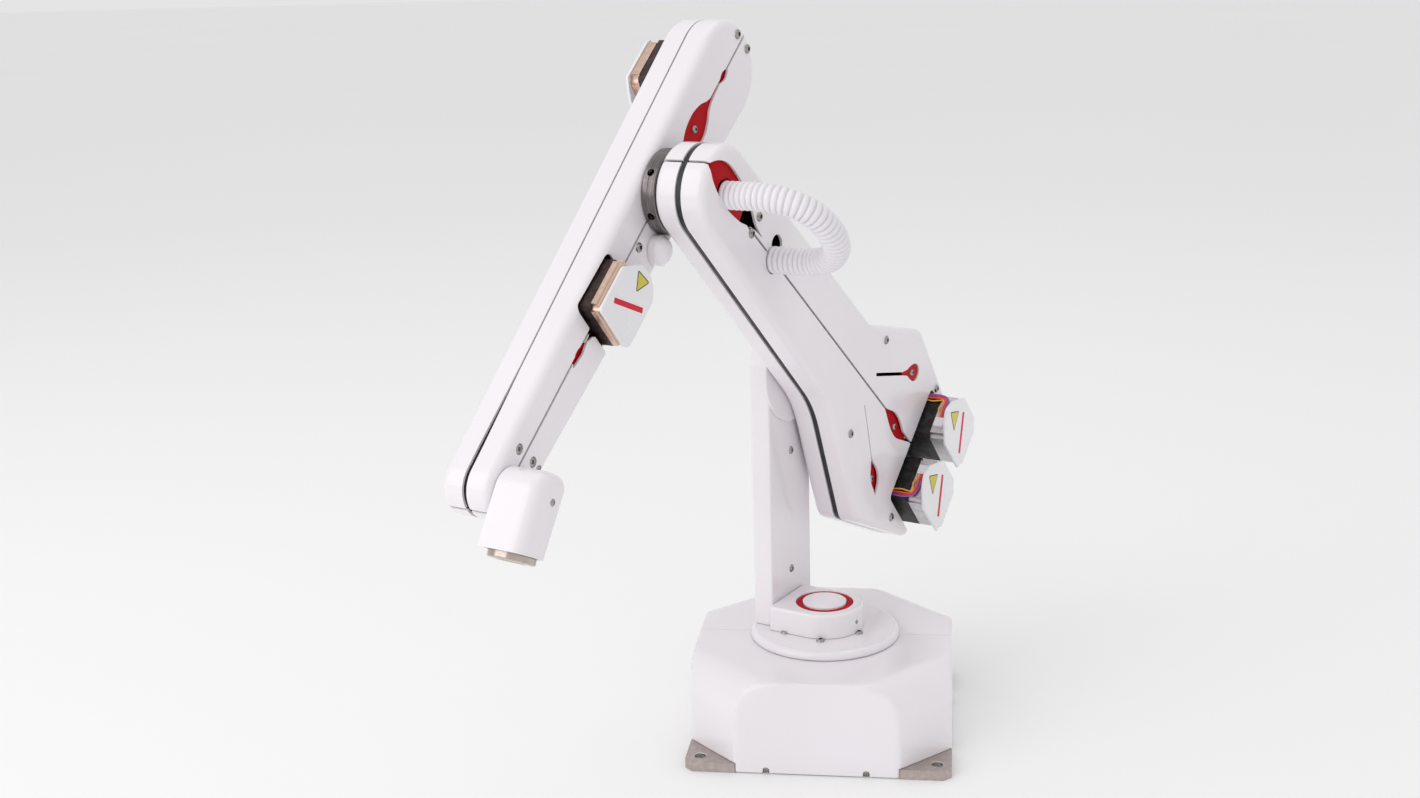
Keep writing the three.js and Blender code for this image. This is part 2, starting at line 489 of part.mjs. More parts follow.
place(turned, "pitch_motor", motorBody(PITCH_MOTOR, FORE_TURN, FORE.plateRight + GAP, -33), BLACK);
place(turned, "pitch_motor_cover", motorBody(PITCH_MOTOR, FORE_TURN, -33 + GAP, -28.3), WHITE);
place(turned, "roll_motor", motorBody(ROLL_MOTOR, FORE_TURN, -96, FORE.plateLeft - GAP), BLACK);
place(turned, "roll_motor_cover", motorBody(ROLL_MOTOR, FORE_TURN, -101, -96 - GAP), WHITE);
place(turned, "pitch_motor_pulley", motorPulley(PITCH_MOTOR, FORE.plateRight, -69, -77), BRIGHT);
place(turned, "roll_motor_pulley", motorPulley(ROLL_MOTOR, FORE.plateLeft, -56, -47), RED);
place(turned, "pitch_idler", idler(PITCH_IDLER, [IDLER.big, -77, -69], [IDLER.shaft, -69, -58],
  [IDLER.small, -58, -48], [9.5, -48, -46.5]), RED);
place(turned, "roll_idler", idler(ROLL_IDLER, [IDLER.small, -79, -69], [IDLER.shaft, -69, -56],
  [14, -56, -47]), RED);
place(turned, "pitch_belt", belt(PITCH_IDLER, IDLER.small, WRIST, 14, -57, -51.5), RUBBER);
place(turned, "roll_belt", belt(ROLL_IDLER, IDLER.small, WRIST, 12, -78.6, -77.6), RUBBER);
place(turned, "pitch_input_belt", belt(PITCH_MOTOR, MOTOR.pulley, PITCH_IDLER, IDLER.big, -76, -70), RUBBER);
place(turned, "roll_input_belt", belt(ROLL_MOTOR, MOTOR.pulley, ROLL_IDLER, 14, -55, -48), RUBBER);
place(turned, "forearm_cap", lathe([[0, -42.8], [10.5, -42.8], [10.5, -38], [9, -35], [5.5, -32.9], [0, -32.3]]
  .map(([r, x]) => [r, x]), [-158, 402], 32), WHITE);

// ---- wrist: built upright at the origin, then leaned to the tool's axis ----
const leanWrist = (body) => solid(geometryOf(body)
  .rotateX(-ROLL_TILT).translate(0, WRIST[0], WRIST[1]));
const housingShape = (inset) => {
  const { left, right, half, shift } = TOOL, r = 9;
  return rounded([[left + inset, shift - half + inset, 5 - inset / 2], [right - inset, shift - half + inset, r - inset],
    [right - inset, shift + half - inset, r - inset], [left + inset, shift + half - inset, 5 - inset / 2]]);
};
const up = (shape, z0, z1, round = 0) => solid(extrude(shape, z0, z1, round));
const wristHousing = () => {
  const { above, below, wall } = HOUSING;
  const outer = common(up(housingShape(0), -below - 12, above, 4),
    block(-100, 100, -100, 100, -below, 100));
  const inner = up(housingShape(wall), -below - 1, above - wall);
  const bore = block(TOOL.left - 1, TOOL.left + wall + 1, -7, 7, -7, 7);
  return leanWrist(cut(outer, inner, bore));
};
const TOOL_X = (TOOL.left + TOOL.right) / 2;
const toolFlange = () => {
  const z = -HOUSING.below;
  const profile = [[0, z - 4.6], [TOOL.radius - 0.6, z - 4.6], [TOOL.radius, z - 4], [TOOL.radius, z - GAP],
    [TOOL.neck, z - GAP], [TOOL.neck, z + 6], [5, z + 6], [5, -14], [8, -14], [4, -10], [0, -10]];
  const body = solid(upright(lathe(profile, [0, 0], 40))).translate([TOOL_X, TOOL.shift, 0]);
  return leanWrist(body);
};
place(turned, "wrist_housing", wristHousing(), WHITE);
place(turned, "wrist_pulley", lathe([[4.4, -58], [14, -58], [14, -50.5], [8, -50.5], [8, -42.8], [4.4, -42.8]],
  WRIST, 32), RED);
place(turned, "roll_input_shaft", idler(WRIST, [12, -79, -71], [4, -71, -38], [6, -38, -35]), BRIGHT);
place(turned, "tool_flange", toolFlange(), BRIGHT);

export default arm;
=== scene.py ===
# Desktop robot arm: smooth shells, screws, motors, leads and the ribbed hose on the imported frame.
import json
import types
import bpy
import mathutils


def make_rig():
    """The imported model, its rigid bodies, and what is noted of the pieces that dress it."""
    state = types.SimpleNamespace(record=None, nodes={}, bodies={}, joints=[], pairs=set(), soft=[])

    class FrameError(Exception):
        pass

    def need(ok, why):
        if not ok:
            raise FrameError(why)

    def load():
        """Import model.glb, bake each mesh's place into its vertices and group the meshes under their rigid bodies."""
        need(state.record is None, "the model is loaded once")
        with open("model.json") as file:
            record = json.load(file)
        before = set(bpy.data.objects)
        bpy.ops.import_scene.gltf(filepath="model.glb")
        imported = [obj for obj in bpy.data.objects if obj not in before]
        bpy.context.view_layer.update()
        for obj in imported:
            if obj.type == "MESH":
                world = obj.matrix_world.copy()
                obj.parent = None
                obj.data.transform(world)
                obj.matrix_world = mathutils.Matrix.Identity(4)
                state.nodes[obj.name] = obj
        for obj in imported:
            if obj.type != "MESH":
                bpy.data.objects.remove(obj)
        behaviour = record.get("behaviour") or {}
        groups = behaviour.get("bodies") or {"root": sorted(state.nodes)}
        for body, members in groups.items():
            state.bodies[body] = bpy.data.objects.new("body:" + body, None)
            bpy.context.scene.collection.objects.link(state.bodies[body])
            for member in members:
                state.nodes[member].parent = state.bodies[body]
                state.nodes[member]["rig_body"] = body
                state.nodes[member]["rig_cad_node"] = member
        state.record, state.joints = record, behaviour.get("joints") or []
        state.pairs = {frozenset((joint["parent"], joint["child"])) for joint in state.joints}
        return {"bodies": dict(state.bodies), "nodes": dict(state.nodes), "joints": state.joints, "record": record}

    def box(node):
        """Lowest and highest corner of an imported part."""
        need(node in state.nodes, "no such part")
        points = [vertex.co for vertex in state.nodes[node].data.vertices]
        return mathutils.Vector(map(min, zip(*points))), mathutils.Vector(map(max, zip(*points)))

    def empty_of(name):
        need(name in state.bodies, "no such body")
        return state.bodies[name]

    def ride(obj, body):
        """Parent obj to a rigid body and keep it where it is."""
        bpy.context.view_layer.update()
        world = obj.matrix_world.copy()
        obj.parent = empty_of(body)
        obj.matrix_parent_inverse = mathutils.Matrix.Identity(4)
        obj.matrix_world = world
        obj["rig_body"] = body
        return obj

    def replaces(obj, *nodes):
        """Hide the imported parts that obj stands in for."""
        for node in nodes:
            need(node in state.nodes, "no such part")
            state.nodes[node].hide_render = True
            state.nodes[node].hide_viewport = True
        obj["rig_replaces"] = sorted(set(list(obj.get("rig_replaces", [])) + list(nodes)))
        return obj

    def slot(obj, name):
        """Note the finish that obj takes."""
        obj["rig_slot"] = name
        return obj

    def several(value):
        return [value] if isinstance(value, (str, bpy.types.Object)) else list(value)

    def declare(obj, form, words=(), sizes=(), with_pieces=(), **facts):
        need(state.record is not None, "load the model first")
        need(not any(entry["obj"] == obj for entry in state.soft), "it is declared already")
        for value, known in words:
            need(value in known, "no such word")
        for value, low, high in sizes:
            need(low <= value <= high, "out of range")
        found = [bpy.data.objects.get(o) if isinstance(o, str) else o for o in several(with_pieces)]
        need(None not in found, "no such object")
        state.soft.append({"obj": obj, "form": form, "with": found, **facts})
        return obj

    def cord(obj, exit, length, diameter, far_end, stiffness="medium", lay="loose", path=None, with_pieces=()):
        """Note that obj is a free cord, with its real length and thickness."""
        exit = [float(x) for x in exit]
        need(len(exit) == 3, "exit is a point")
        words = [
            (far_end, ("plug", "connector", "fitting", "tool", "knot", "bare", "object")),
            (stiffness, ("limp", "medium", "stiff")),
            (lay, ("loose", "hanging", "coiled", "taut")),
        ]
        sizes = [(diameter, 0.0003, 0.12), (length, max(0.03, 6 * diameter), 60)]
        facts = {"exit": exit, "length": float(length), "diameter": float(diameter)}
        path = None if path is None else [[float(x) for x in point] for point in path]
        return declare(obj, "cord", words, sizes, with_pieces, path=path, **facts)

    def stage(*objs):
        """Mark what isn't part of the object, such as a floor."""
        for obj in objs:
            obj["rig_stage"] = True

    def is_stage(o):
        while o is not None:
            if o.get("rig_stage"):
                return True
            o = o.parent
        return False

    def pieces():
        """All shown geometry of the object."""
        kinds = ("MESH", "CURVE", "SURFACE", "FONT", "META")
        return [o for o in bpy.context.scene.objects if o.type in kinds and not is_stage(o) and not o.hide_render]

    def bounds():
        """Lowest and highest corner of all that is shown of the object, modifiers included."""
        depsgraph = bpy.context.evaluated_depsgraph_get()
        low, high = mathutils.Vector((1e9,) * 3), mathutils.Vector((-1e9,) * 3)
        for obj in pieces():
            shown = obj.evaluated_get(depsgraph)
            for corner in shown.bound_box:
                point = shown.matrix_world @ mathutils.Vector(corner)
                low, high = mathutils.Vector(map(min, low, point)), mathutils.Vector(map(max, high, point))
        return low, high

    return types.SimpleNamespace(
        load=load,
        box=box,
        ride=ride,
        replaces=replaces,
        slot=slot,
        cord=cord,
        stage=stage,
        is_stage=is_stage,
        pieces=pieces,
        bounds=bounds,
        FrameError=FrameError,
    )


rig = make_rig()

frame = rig.load()

import json
import math

import bmesh
import bpy
from mathutils import Matrix, Vector

CAD_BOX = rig.bounds()
MM = 0.001

# ---- the arm's own directions: x across it, y towards its back, z up ----
RECORD = frame["record"]
JOINTS = {j["name"]: j for j in RECORD["behaviour"]["joints"]}
ACROSS = Vector(JOINTS["shoulder"]["axis"])
BACK = Vector((0, 0, 1)).cross(ACROSS)
TURN = Matrix((ACROSS, BACK, (0, 0, 1))).transposed()


def joint_at(name):
    """(y, z) of a joint in the arm's plane, in millimetres."""
    p = TURN.inverted() @ Vector(JOINTS[name]["pos_m"]) / MM
    return p.y, p.z


def span(*nodes):
    """Lowest and highest corner of CAD nodes along the arm's own directions, in millimetres."""
    back = TURN.inverted()
    points = [back @ v.co / MM for n in nodes for v in frame["nodes"][n].data.vertices]
    return [Vector([f(p[i] for p in points) for i in range(3)]) for f in (min, max)]


# ---- driving dimensions, in millimetres ----
WALL, EDGE, SEAM, SOFT = 1.8, 6.0, 1.9, 0.22
SHOULDER, ELBOW, WRIST = joint_at("shoulder"), joint_at("elbow"), joint_at("wrist_pitch")
CROWN = (-55, 514)
FORE_TIP, FORE_CROWN, ELBOW_REACH = 20, 37, 32
SHOULDER_MOTOR, ELBOW_MOTOR = joint_at("shoulder_drive_spin"), joint_at("elbow_drive_spin")
PITCH_MOTOR, ROLL_MOTOR = joint_at("pitch_drive_spin"), joint_at("roll_drive_spin")
MOTOR_HALF, MOTOR_CHAMFER = 21.6, 2.6
UPPER_MOTOR_TURN = math.radians(42.2)
FORE_TURN = math.atan2(CROWN[1] - WRIST[1], CROWN[0] - WRIST[0])
SINK, SINK_RADIUS = 1.5, 3.7
HEAD, MID_HEAD, SUNK_HEIGHT = 3.6, 3.0, 1.2

SIDE = (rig.box("base_plate")[1].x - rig.box("base_plate")[0].x) / MM
PLATE_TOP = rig.box("base_plate")[1].z / MM
PANEL_CORNER = 38.9
PANEL = SIDE / 2 - PANEL_CORNER
COVER_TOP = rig.box("base_cover_front")[1].z / MM
DISC_LOW, DISC_HIGH = (c.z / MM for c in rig.box("turntable_disc"))
DISC_RADIUS = span("turntable_disc")[1].x
PEDESTAL_LOW, PEDESTAL_HIGH = (c.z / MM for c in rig.box("pedestal"))


# ---- camera ----
YAW, PITCH, ROLL = -0.14298, 0.25421, 0.02836
camera = bpy.data.objects.new("camera", bpy.data.cameras.new("camera"))
bpy.context.scene.collection.objects.link(camera)
bpy.context.scene.camera = camera
camera.data.lens, camera.data.sensor_width = 42.67, 36
camera.data.clip_end = 100
ahead = Vector((math.sin(YAW) * math.cos(PITCH), math.cos(YAW) * math.cos(PITCH), -math.sin(PITCH)))
level = Vector((math.cos(YAW), -math.sin(YAW), 0))
down = ahead.cross(level)
right = math.cos(ROLL) * level + math.sin(ROLL) * down
below = -math.sin(ROLL) * level + math.cos(ROLL) * down
camera.matrix_world = Matrix.Translation((0.09234, -1.24382, 0.59084)) @ \
    Matrix((right, -below, -ahead)).transposed().to_4x4()


# ---- materials ----
class Nodes:
    """A small helper that adds and links shader nodes."""

    def __init__(self, name):
        self.material = bpy.data.materials.new(name)
        self.material.use_nodes = True
        self.tree = self.material.node_tree
        self.shader = self.tree.nodes["Principled BSDF"]
        self.place = self.add("TexCoord").outputs["Object"]

    def put(self, socket, value):
        """Links a socket to another one, or sets its value."""
        if isinstance(value, bpy.types.NodeSocket):
            self.tree.links.new(value, socket)
        else:
            socket.default_value = value

    def add(self, kind, inputs=None, **settings):
        node = self.tree.nodes.new("ShaderNode" + kind)
        for key, value in settings.items():
            setattr(node, key, value)
        for key, value in (inputs or {}).items():
            self.put(node.inputs[key], value)
        return node

    def maths(self, operation, *values):
        return self.add("Math", dict(enumerate(values)), operation=operation).outputs[0]

    def depth(self, direction, scale):
        """How far a point lies along `direction`, times `scale`."""
        dot = self.add("VectorMath", {0: self.place, 1: direction}, operation="DOT_PRODUCT")
        return self.maths("MULTIPLY", dot.outputs["Value"], scale)

    def noise(self, scale, detail, rough=0.5, vector=None):
        return self.add("TexNoise", {"Vector": vector or self.place, "Scale": scale,
                                               "Detail": detail, "Roughness": rough}).outputs["Fac"]

    def between(self, fac, low, high, start=0.3, end=0.7):
        return self.add("MapRange", {"Value": fac, "From Min": start, "From Max": end,
                                               "To Min": low, "To Max": high}).outputs["Result"]

    def tint(self, fac, low, high):
        ramp = self.add("ValToRGB", {"Fac": fac})
        for element, colour, place in zip(ramp.color_ramp.elements, (low, high), (0.3, 0.7)):
            element.color, element.position = (*colour, 1), place
        return ramp.outputs["Color"]

    def mix(self, fac, a, b):
        return self.add("Mix", {0: fac, 6: a, 7: b}, data_type="RGBA").outputs[2]

    def worn(self, amount=0.5):
        """1 on sharp outer edges, broken up by noise, and 0 elsewhere."""
        sharp = self.add("NewGeometry").outputs["Pointiness"]
        edge = self.between(sharp, 0, amount, 0.52, 0.6)
        patch = self.between(self.noise(220, 4), 0, 1, 0.45, 0.62)
        return self.maths("MULTIPLY", edge, patch)

    def streaks(self, direction, fine):
        """Coordinates that change fast along `direction` and slowly across it."""
        slow = self.add("VectorMath", {0: self.place, "Scale": 14}, operation="SCALE")
        push = self.add("CombineXYZ", {"X": self.depth(direction, fine)})
        return self.add("VectorMath", {0: slow.outputs[0], 1: push.outputs[0]}, operation="ADD").outputs[0]

    def finish(self, colour, roughness, height=None, strength=0, distance=0.0002, **fixed):
        if height is not None:
            bump = self.add("Bump", {"Height": height, "Strength": strength, "Distance": distance})
            fixed["Normal"] = bump.outputs["Normal"]
        for name, value in {"Base Color": colour, "Roughness": roughness, **fixed}.items():
            self.put(self.shader.inputs[name.replace("_", " ")], value)
        return self.material


def moulded(name, low, high, rough=(0.16, 0.26), coat=0.35, bend=1.48, groove=1.0):
    """Moulded plastic: faint clouds of colour, a fine orange-peel skin and dulled patches; with `groove` below 1,
    painted shade darkens the hollows between ribs.
    """
    n = Nodes(name)
    colour = n.tint(n.noise(7, 2), low, high)
    # painted shade: where pointiness is low (the hollows between ribs) the colour is darkened towards `low` times
    # `groove`
    if groove < 1:
        hollow = n.between(n.add("NewGeometry").outputs["Pointiness"], 1, 0, 0.40, 0.49)
        colour = n.mix(hollow, colour, (*[c * groove for c in low], 1))
    return n.finish(colour, n.between(n.noise(26, 5), *rough), n.noise(900, 2), 0.05, 0.0001,
                    Coat_Weight=coat, Coat_Roughness=0.08, IOR=bend)


def matt(name, low, high, rough, scale=900, strength=0.35):
    """A matt skin with a fine leathery grain and paler, rubbed edges."""
    n = Nodes(name)
    colour = n.mix(n.worn(), n.tint(n.noise(40, 4), low, high), (*[min(1, c * 2 + 0.04) for c in high], 1))
    return n.finish(colour, n.between(n.noise(60, 4), *rough), n.noise(scale, 3), strength)


def metal(name, low, high, direction, rough, strength=0.25, fine=2600):
    """Machined metal: turning or grinding marks, smudges and bright edges."""
    n = Nodes(name)
    lines = n.noise(1, 3, 0.6, n.streaks(direction, fine))
    colour = n.mix(n.worn(0.35), n.tint(lines, low, high), (*[min(1, c * 1.25 + 0.05) for c in high], 1))
    smudge = n.maths("ADD", lines, n.noise(14, 3))
    return n.finish(colour, n.between(smudge, *rough, 0.7, 1.3), lines, strength, Metallic=1.0)


def laminated(name, low, high, direction):
    """A stack of thin painted steel sheets, seen on edge."""
    n = Nodes(name)
    sheets = n.maths("SINE", n.depth(direction, 9000))
    colour = n.mix(n.worn(0.6), n.tint(n.noise(120, 5), low, high), (0.16, 0.15, 0.15, 1))
    return n.finish(colour, n.between(n.noise(80, 4), 0.3, 0.5), sheets, 0.4, 0.0001, Metallic=0.4)


WHITE = moulded("white_gloss_plastic", (0.82, 0.78, 0.81), (0.87, 0.83, 0.865))
COVER_WHITE = moulded("motor_cover_plastic", (0.80, 0.79, 0.82), (0.86, 0.85, 0.88), (0.22, 0.34))
# the hose gets painted shade in the hollows between its ribs (groove=0.5)
HOSE_WHITE = moulded("hose_plastic", (0.80, 0.77, 0.81), (0.86, 0.84, 0.87), (0.34, 0.46), 0.1, groove=0.5)
RED = moulded("red_plastic", (0.40, 0.0, 0.004), (0.48, 0.001, 0.007), (0.4, 0.5), 0.0, bend=1.18)
YELLOW = moulded("yellow_label", (0.58, 0.50, 0.04), (0.70, 0.60, 0.06), (0.35, 0.45), 0.1)
STRIPE = moulded("red_label", (0.62, 0.01, 0.03), (0.70, 0.02, 0.05), (0.35, 0.45), 0.0, bend=1.3)
CHARCOAL = matt("charcoal_plastic", (0.010, 0.009, 0.011), (0.022, 0.02, 0.024), (0.35, 0.5))
RUBBER = matt("belt_rubber", (0.006, 0.006, 0.006), (0.015, 0.015, 0.015), (0.7, 0.85), 1600, 0.5)
STACK = laminated("motor_stack", (0.006, 0.005, 0.006), (0.016, 0.012, 0.014), ACROSS)
BROWN_STACK = laminated("forearm_motor_stack", (0.02, 0.009, 0.008), (0.045, 0.018, 0.014), ACROSS)
BELL = metal("motor_bell", (0.50, 0.49, 0.50), (0.68, 0.67, 0.68), ACROSS, (0.3, 0.45))
COPPER_BELL = metal("forearm_motor_bell", (0.60, 0.42, 0.33), (0.78, 0.58, 0.47), ACROSS, (0.25, 0.4))
DARK_STEEL = metal("turned_steel", (0.10, 0.085, 0.085), (0.30, 0.27, 0.27), ACROSS, (0.2, 0.34), 0.4, 3200)
SCREW_STEEL = metal("screw_steel", (0.24, 0.23, 0.22), (0.50, 0.48, 0.46), (0, 0, 1), (0.12, 0.22))
TOOL_AXIS = Vector(JOINTS["tool_roll"]["axis"])
# painted reflection: the tool steel's warm brown tint stands in for reflected warm surroundings, laid over the steel's
# own turning marks
TOOL_STEEL = metal("tool_steel", (0.36, 0.29, 0.25), (0.62, 0.54, 0.49), TOOL_AXIS, (0.10, 0.2), 0.2)
BRIGHT = metal("bright_metal", (0.6, 0.58, 0.56), (0.8, 0.78, 0.75), ACROSS, (0.15, 0.3))
PLATE = metal("ground_plate", (0.46, 0.40, 0.38), (0.52, 0.455, 0.43), (0.94, 0.34, 0), (0.42, 0.54), 0.12, 2600)
LEAD_COLOURS = {colour: moulded(f"lead_{colour}", low, high, (0.35, 0.45), 0.1) for colour, low, high in (
    ("violet", (0.25, 0.10, 0.42), (0.36, 0.15, 0.52)), ("red", (0.70, 0.03, 0.07), (0.78, 0.05, 0.10)),
    ("orange", (0.86, 0.12, 0.07), (0.94, 0.18, 0.10)), ("yellow", (0.88, 0.42, 0.05), (0.95, 0.50, 0.08)))}
SLOT_MATERIALS = {
    "base_metal": PLATE, "white_shell": WHITE, "motor_cover": COVER_WHITE, "motor_black": STACK,
    "frame_black": CHARCOAL, "red_plastic": RED, "dark_steel": DARK_STEEL, "bright_metal": BRIGHT,
    "belt_rubber": RUBBER, "hose_white": HOSE_WHITE,
}


# ---- outlines in a plane, in millimetres ----
def arc(centre, radius, start, end, step=math.radians(5)):
    count = max(2, math.ceil(abs(end - start) / step))
    return [(centre[0] + radius * math.cos(start + (end - start) * i / count),
             centre[1] + radius * math.sin(start + (end - start) * i / count)) for i in range(count + 1)]


def circle(count, start=0):
    """Cosine and sine of `count` even steps round a circle."""
    return [(math.cos(a), math.sin(a)) for a in (start + 2 * math.pi * k / count for k in range(count))]


def disc(centre, radius, count=64, start=0):
    return [(centre[0] + radius * c, centre[1] + radius * s) for c, s in circle(count, start)]


def spun(centre, turn, u, v):
    """The point (u, v) of axes that stand at `centre` and are turned by `turn`."""
    s, c = math.sin(turn), math.cos(turn)
    return centre[0] + u * c - v * s, centre[1] + u * s + v * c


def rounded(corners, inset=0):
    """A closed outline of (x, y, corner radius), anticlockwise, drawn `inset` inside its edges."""
    points = [Vector(c[:2]) for c in corners]
    ways = [(points[(i + 1) % len(points)] - p).normalized() for i, p in enumerate(points)]
    outline = []
    for i, corner in enumerate(corners):
        u, v = ways[i - 1], ways[i]
        turn = u.x * v.y - u.y * v.x
        half = math.acos(max(-1, min(1, u.dot(v)))) / 2
        tip = points[i] + Vector((-u.y, u.x)) * inset + u * (math.tan(half) * -inset * math.copysign(1, turn))
        radius = max(0.2, corner[2] - math.copysign(inset, turn))
        side = math.copysign(1, turn)
        start = tip - u * radius * math.tan(half)
        centre = start + Vector((-u.y, u.x)) * radius * side
        angle = math.atan2(start.y - centre.y, start.x - centre.x)
        outline += arc(centre, radius, angle, angle + 2 * half * side)
    return outline


def taper(a, ra, b, rb, inset):
    """Two circles and their outer tangents."""
    axis = math.atan2(b[1] - a[1], b[0] - a[0])
    side = math.pi / 2 + math.asin((rb - ra) / math.dist(a, b))
    return arc(b, rb - inset, axis - side, axis + side) + \
        arc(a, ra - inset, axis + side, axis + 2 * math.pi - side)


def tilted(centre, turn, u0, u1, v0, v1, radius=0.2):
    """A rectangle with round corners about a centre, turned by `turn`."""
    return rounded([(*spun(centre, turn, u, v), radius) for u, v in ((u0, v0), (u1, v0), (u1, v1), (u0, v1))])


def smooth_loop(points, steps=6):
    """A closed smooth curve through given points."""
    found = []
    for i in range(len(points)):
        p0, p1, p2, p3 = (Vector(points[(i + k) % len(points)]) for k in (-1, 0, 1, 2))
        for s in range(steps):
            t = s / steps
            found.append(tuple(0.5 * ((2 * p1) + (p2 - p0) * t + (2 * p0 - 5 * p1 + 4 * p2 - p3) * t * t
                                      + (3 * p1 - p0 - 3 * p2 + p3) * t ** 3)))
    return found


def along_fore(t, side):
    """A point `t` along the forearm from the wrist, and `side` towards its front edge."""
    return spun(WRIST, FORE_TURN, t, side)


# ---- mesh pieces ----
def linked(bm, mesh):
    """An object in the scene that holds the bmesh."""
    bm.to_mesh(mesh)
    bm.free()
    obj = bpy.data.objects.new(mesh.name, mesh)
    bpy.context.scene.collection.objects.link(obj)
    return obj


def as_object(verts, faces, turned, weld=False):
    """An object from points in millimetres, in the arm's directions or the base's."""
    mesh = bpy.data.meshes.new("part")
    mesh.from_pydata([(TURN @ Vector(v) if turned else Vector(v)) * MM for v in verts], [], faces)
    bm = bmesh.new()
    bm.from_mesh(mesh)
    if weld:
        bmesh.ops.remove_doubles(bm, verts=bm.verts, dist=1e-7)
        bmesh.ops.dissolve_degenerate(bm, edges=bm.edges, dist=1e-7)
    bmesh.ops.recalc_face_normals(bm, faces=bm.faces)
    return linked(bm, mesh)


def grid(rows, n, steps=None):
    """Faces between rows of n points that close on themselves; without `steps` the last row meets the first."""
    return [(r * n + i, r * n + (i + 1) % n, (r + 1) % rows * n + (i + 1) % n, (r + 1) % rows * n + i)
            for r in range(steps or rows) for i in range(n)]


def caps(rows, n):
    return [tuple(reversed(range(n))), tuple(range((rows - 1) * n, rows * n))]


def loft(rings, turned=True):
    """A closed body through rings of equally many points."""
    rows, n = len(rings), len(rings[0])
    return as_object([v for ring in rings for v in ring], caps(rows, n) + grid(rows, n, rows - 1), turned)


def across(outline, rings):
    """A body across the arm: rings of (inset, x) of an outline function of the inset."""
    return loft([[(x, y, z) for y, z in outline(inset)] for inset, x in rings])


def prism(shape, low, high):
    return across(lambda inset: shape, [(0, low), (0, high)])


def rise(outline, rings):
    """An upright body: rings of (inset, z)."""
    return loft([[(x, y, z) for x, y in outline(inset)] for inset, z in rings])


def round_edge(radius, at, way, steps=6):
    """Rings of a rounded edge that ends at `at`, reached in direction `way`."""
    angles = [math.pi / 2 * i / steps for i in range(steps + 1)]
    return [(radius * (1 - math.cos(a)), at - way * radius * (1 - math.sin(a))) for a in angles]


def lathe(profile, place, count, turned=True):
    """A lathe body: profile of (radius, height), closed on itself, and `place` from (r cos, r sin, h)."""
    verts = [place(r * c, r * s, h) for c, s in circle(count) for r, h in profile]
    return as_object(verts, grid(count, len(profile)), turned, weld=True)


def lathe_across(profile, centre, count=96):
    return lathe(profile, lambda a, b, h: (h, centre[0] + a, centre[1] + b), count)


def lathe_up(profile, centre=(0, 0), count=96, turned=True):
    return lathe(profile, lambda a, b, h: (centre[0] + a, centre[1] + b, h), count, turned)


def block(low, high, turned=False):
    (x0, y0, z0), (x1, y1, z1) = low, high
    return loft([[(x0, y0, z), (x1, y0, z), (x1, y1, z), (x0, y1, z)] for z in (z0, z1)], turned)


def settle(obj):
    """Applies the modifiers to the mesh."""
    graph = bpy.context.evaluated_depsgraph_get()
    made = bpy.data.meshes.new_from_object(obj.evaluated_get(graph), depsgraph=graph)
    old = obj.data
    obj.modifiers.clear()
    obj.data = made
    bpy.data.meshes.remove(old)
    return obj


def boolean(body, *tools, operation="DIFFERENCE"):
    for tool in tools:
        m = body.modifiers.new("cut", "BOOLEAN")
        m.operation, m.object, m.solver = operation, tool, "EXACT"
    settle(body)
    for tool in tools:
        bpy.data.objects.remove(tool, do_unlink=True)
    return body


def joined(parts):
    """One object from several."""
    bm = bmesh.new()
    for part in parts:
        bm.from_mesh(part.data)
        bpy.data.objects.remove(part, do_unlink=True)
    return linked(bm, bpy.data.meshes.new("part"))


def smooth(obj):
    obj.data.polygons.foreach_set("use_smooth", [True] * len(obj.data.polygons))
    return obj


def soften(obj, width=SOFT, limit=38):
    """Bevels the sharp edges and shades the rest smooth."""
    if width:
        m = obj.modifiers.new("edges", "BEVEL")
        m.width, m.segments, m.limit_method = width * MM, 2, "ANGLE"
        m.angle_limit, m.use_clamp_overlap = math.radians(limit), True
        settle(obj)
    smooth(obj).data.set_sharp_from_angle(angle=math.radians(limit))
    obj.modifiers.new("shading", "WEIGHTED_NORMAL").keep_sharp = True
    return obj


def piece(obj, name, body, material, slot, replaces=()):
    """Names and paints an object and hands it to the frame."""
    obj.name = obj.data.name = name
    obj.data.materials.clear()
    obj.data.materials.append(material)
    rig.ride(obj, body)
    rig.slot(obj, slot)
    if replaces:
        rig.replaces(obj, *replaces)
    return obj


# ---- hose: its route repeats the CAD model's, in metres ----
HOSE_RADIUS, HOSE_PITCH = 0.0097, 0.0042
HOSE_ROUTE = [
    (0.0041, -0.144, 0.440), (0.014, -0.144, 0.440), (0.028, -0.144, 0.440), (0.042, -0.1428, 0.439),
    (0.055, -0.1385, 0.4354), (0.064, -0.131, 0.4288), (0.0685, -0.1205, 0.4192), (0.0685, -0.109, 0.4088),
    (0.064, -0.0986, 0.3994), (0.055, -0.0905, 0.392), (0.042, -0.0862, 0.3881), (0.028, -0.085, 0.387),
    (0.014, -0.085, 0.387), (0.0025, -0.085, 0.387)]


def smooth_line(points, steps=24):
    """A centripetal curve through the points."""
    points = [Vector(p) for p in points]
    ends = [points[0] * 2 - points[1], *points, points[-1] * 2 - points[-2]]
    found = []
    for i in range(1, len(ends) - 2):
        p = ends[i - 1:i + 3]
        t = [0.0]
        for a, b in zip(p, p[1:]):
            t.append(t[-1] + max(1e-6, (b - a).length) ** 0.5)
        for s in range(steps):
            x = t[1] + (t[2] - t[1]) * s / steps
            mix = lambda a, b, ta, tb: a * ((tb - x) / (tb - ta)) + b * ((x - ta) / (tb - ta))
            a1, a2, a3 = (mix(p[k], p[k + 1], t[k], t[k + 1]) for k in range(3))
            b1, b2 = mix(a1, a2, t[0], t[2]), mix(a2, a3, t[1], t[3])
            found.append(mix(b1, b2, t[1], t[2]))
    return found + [points[-1]]


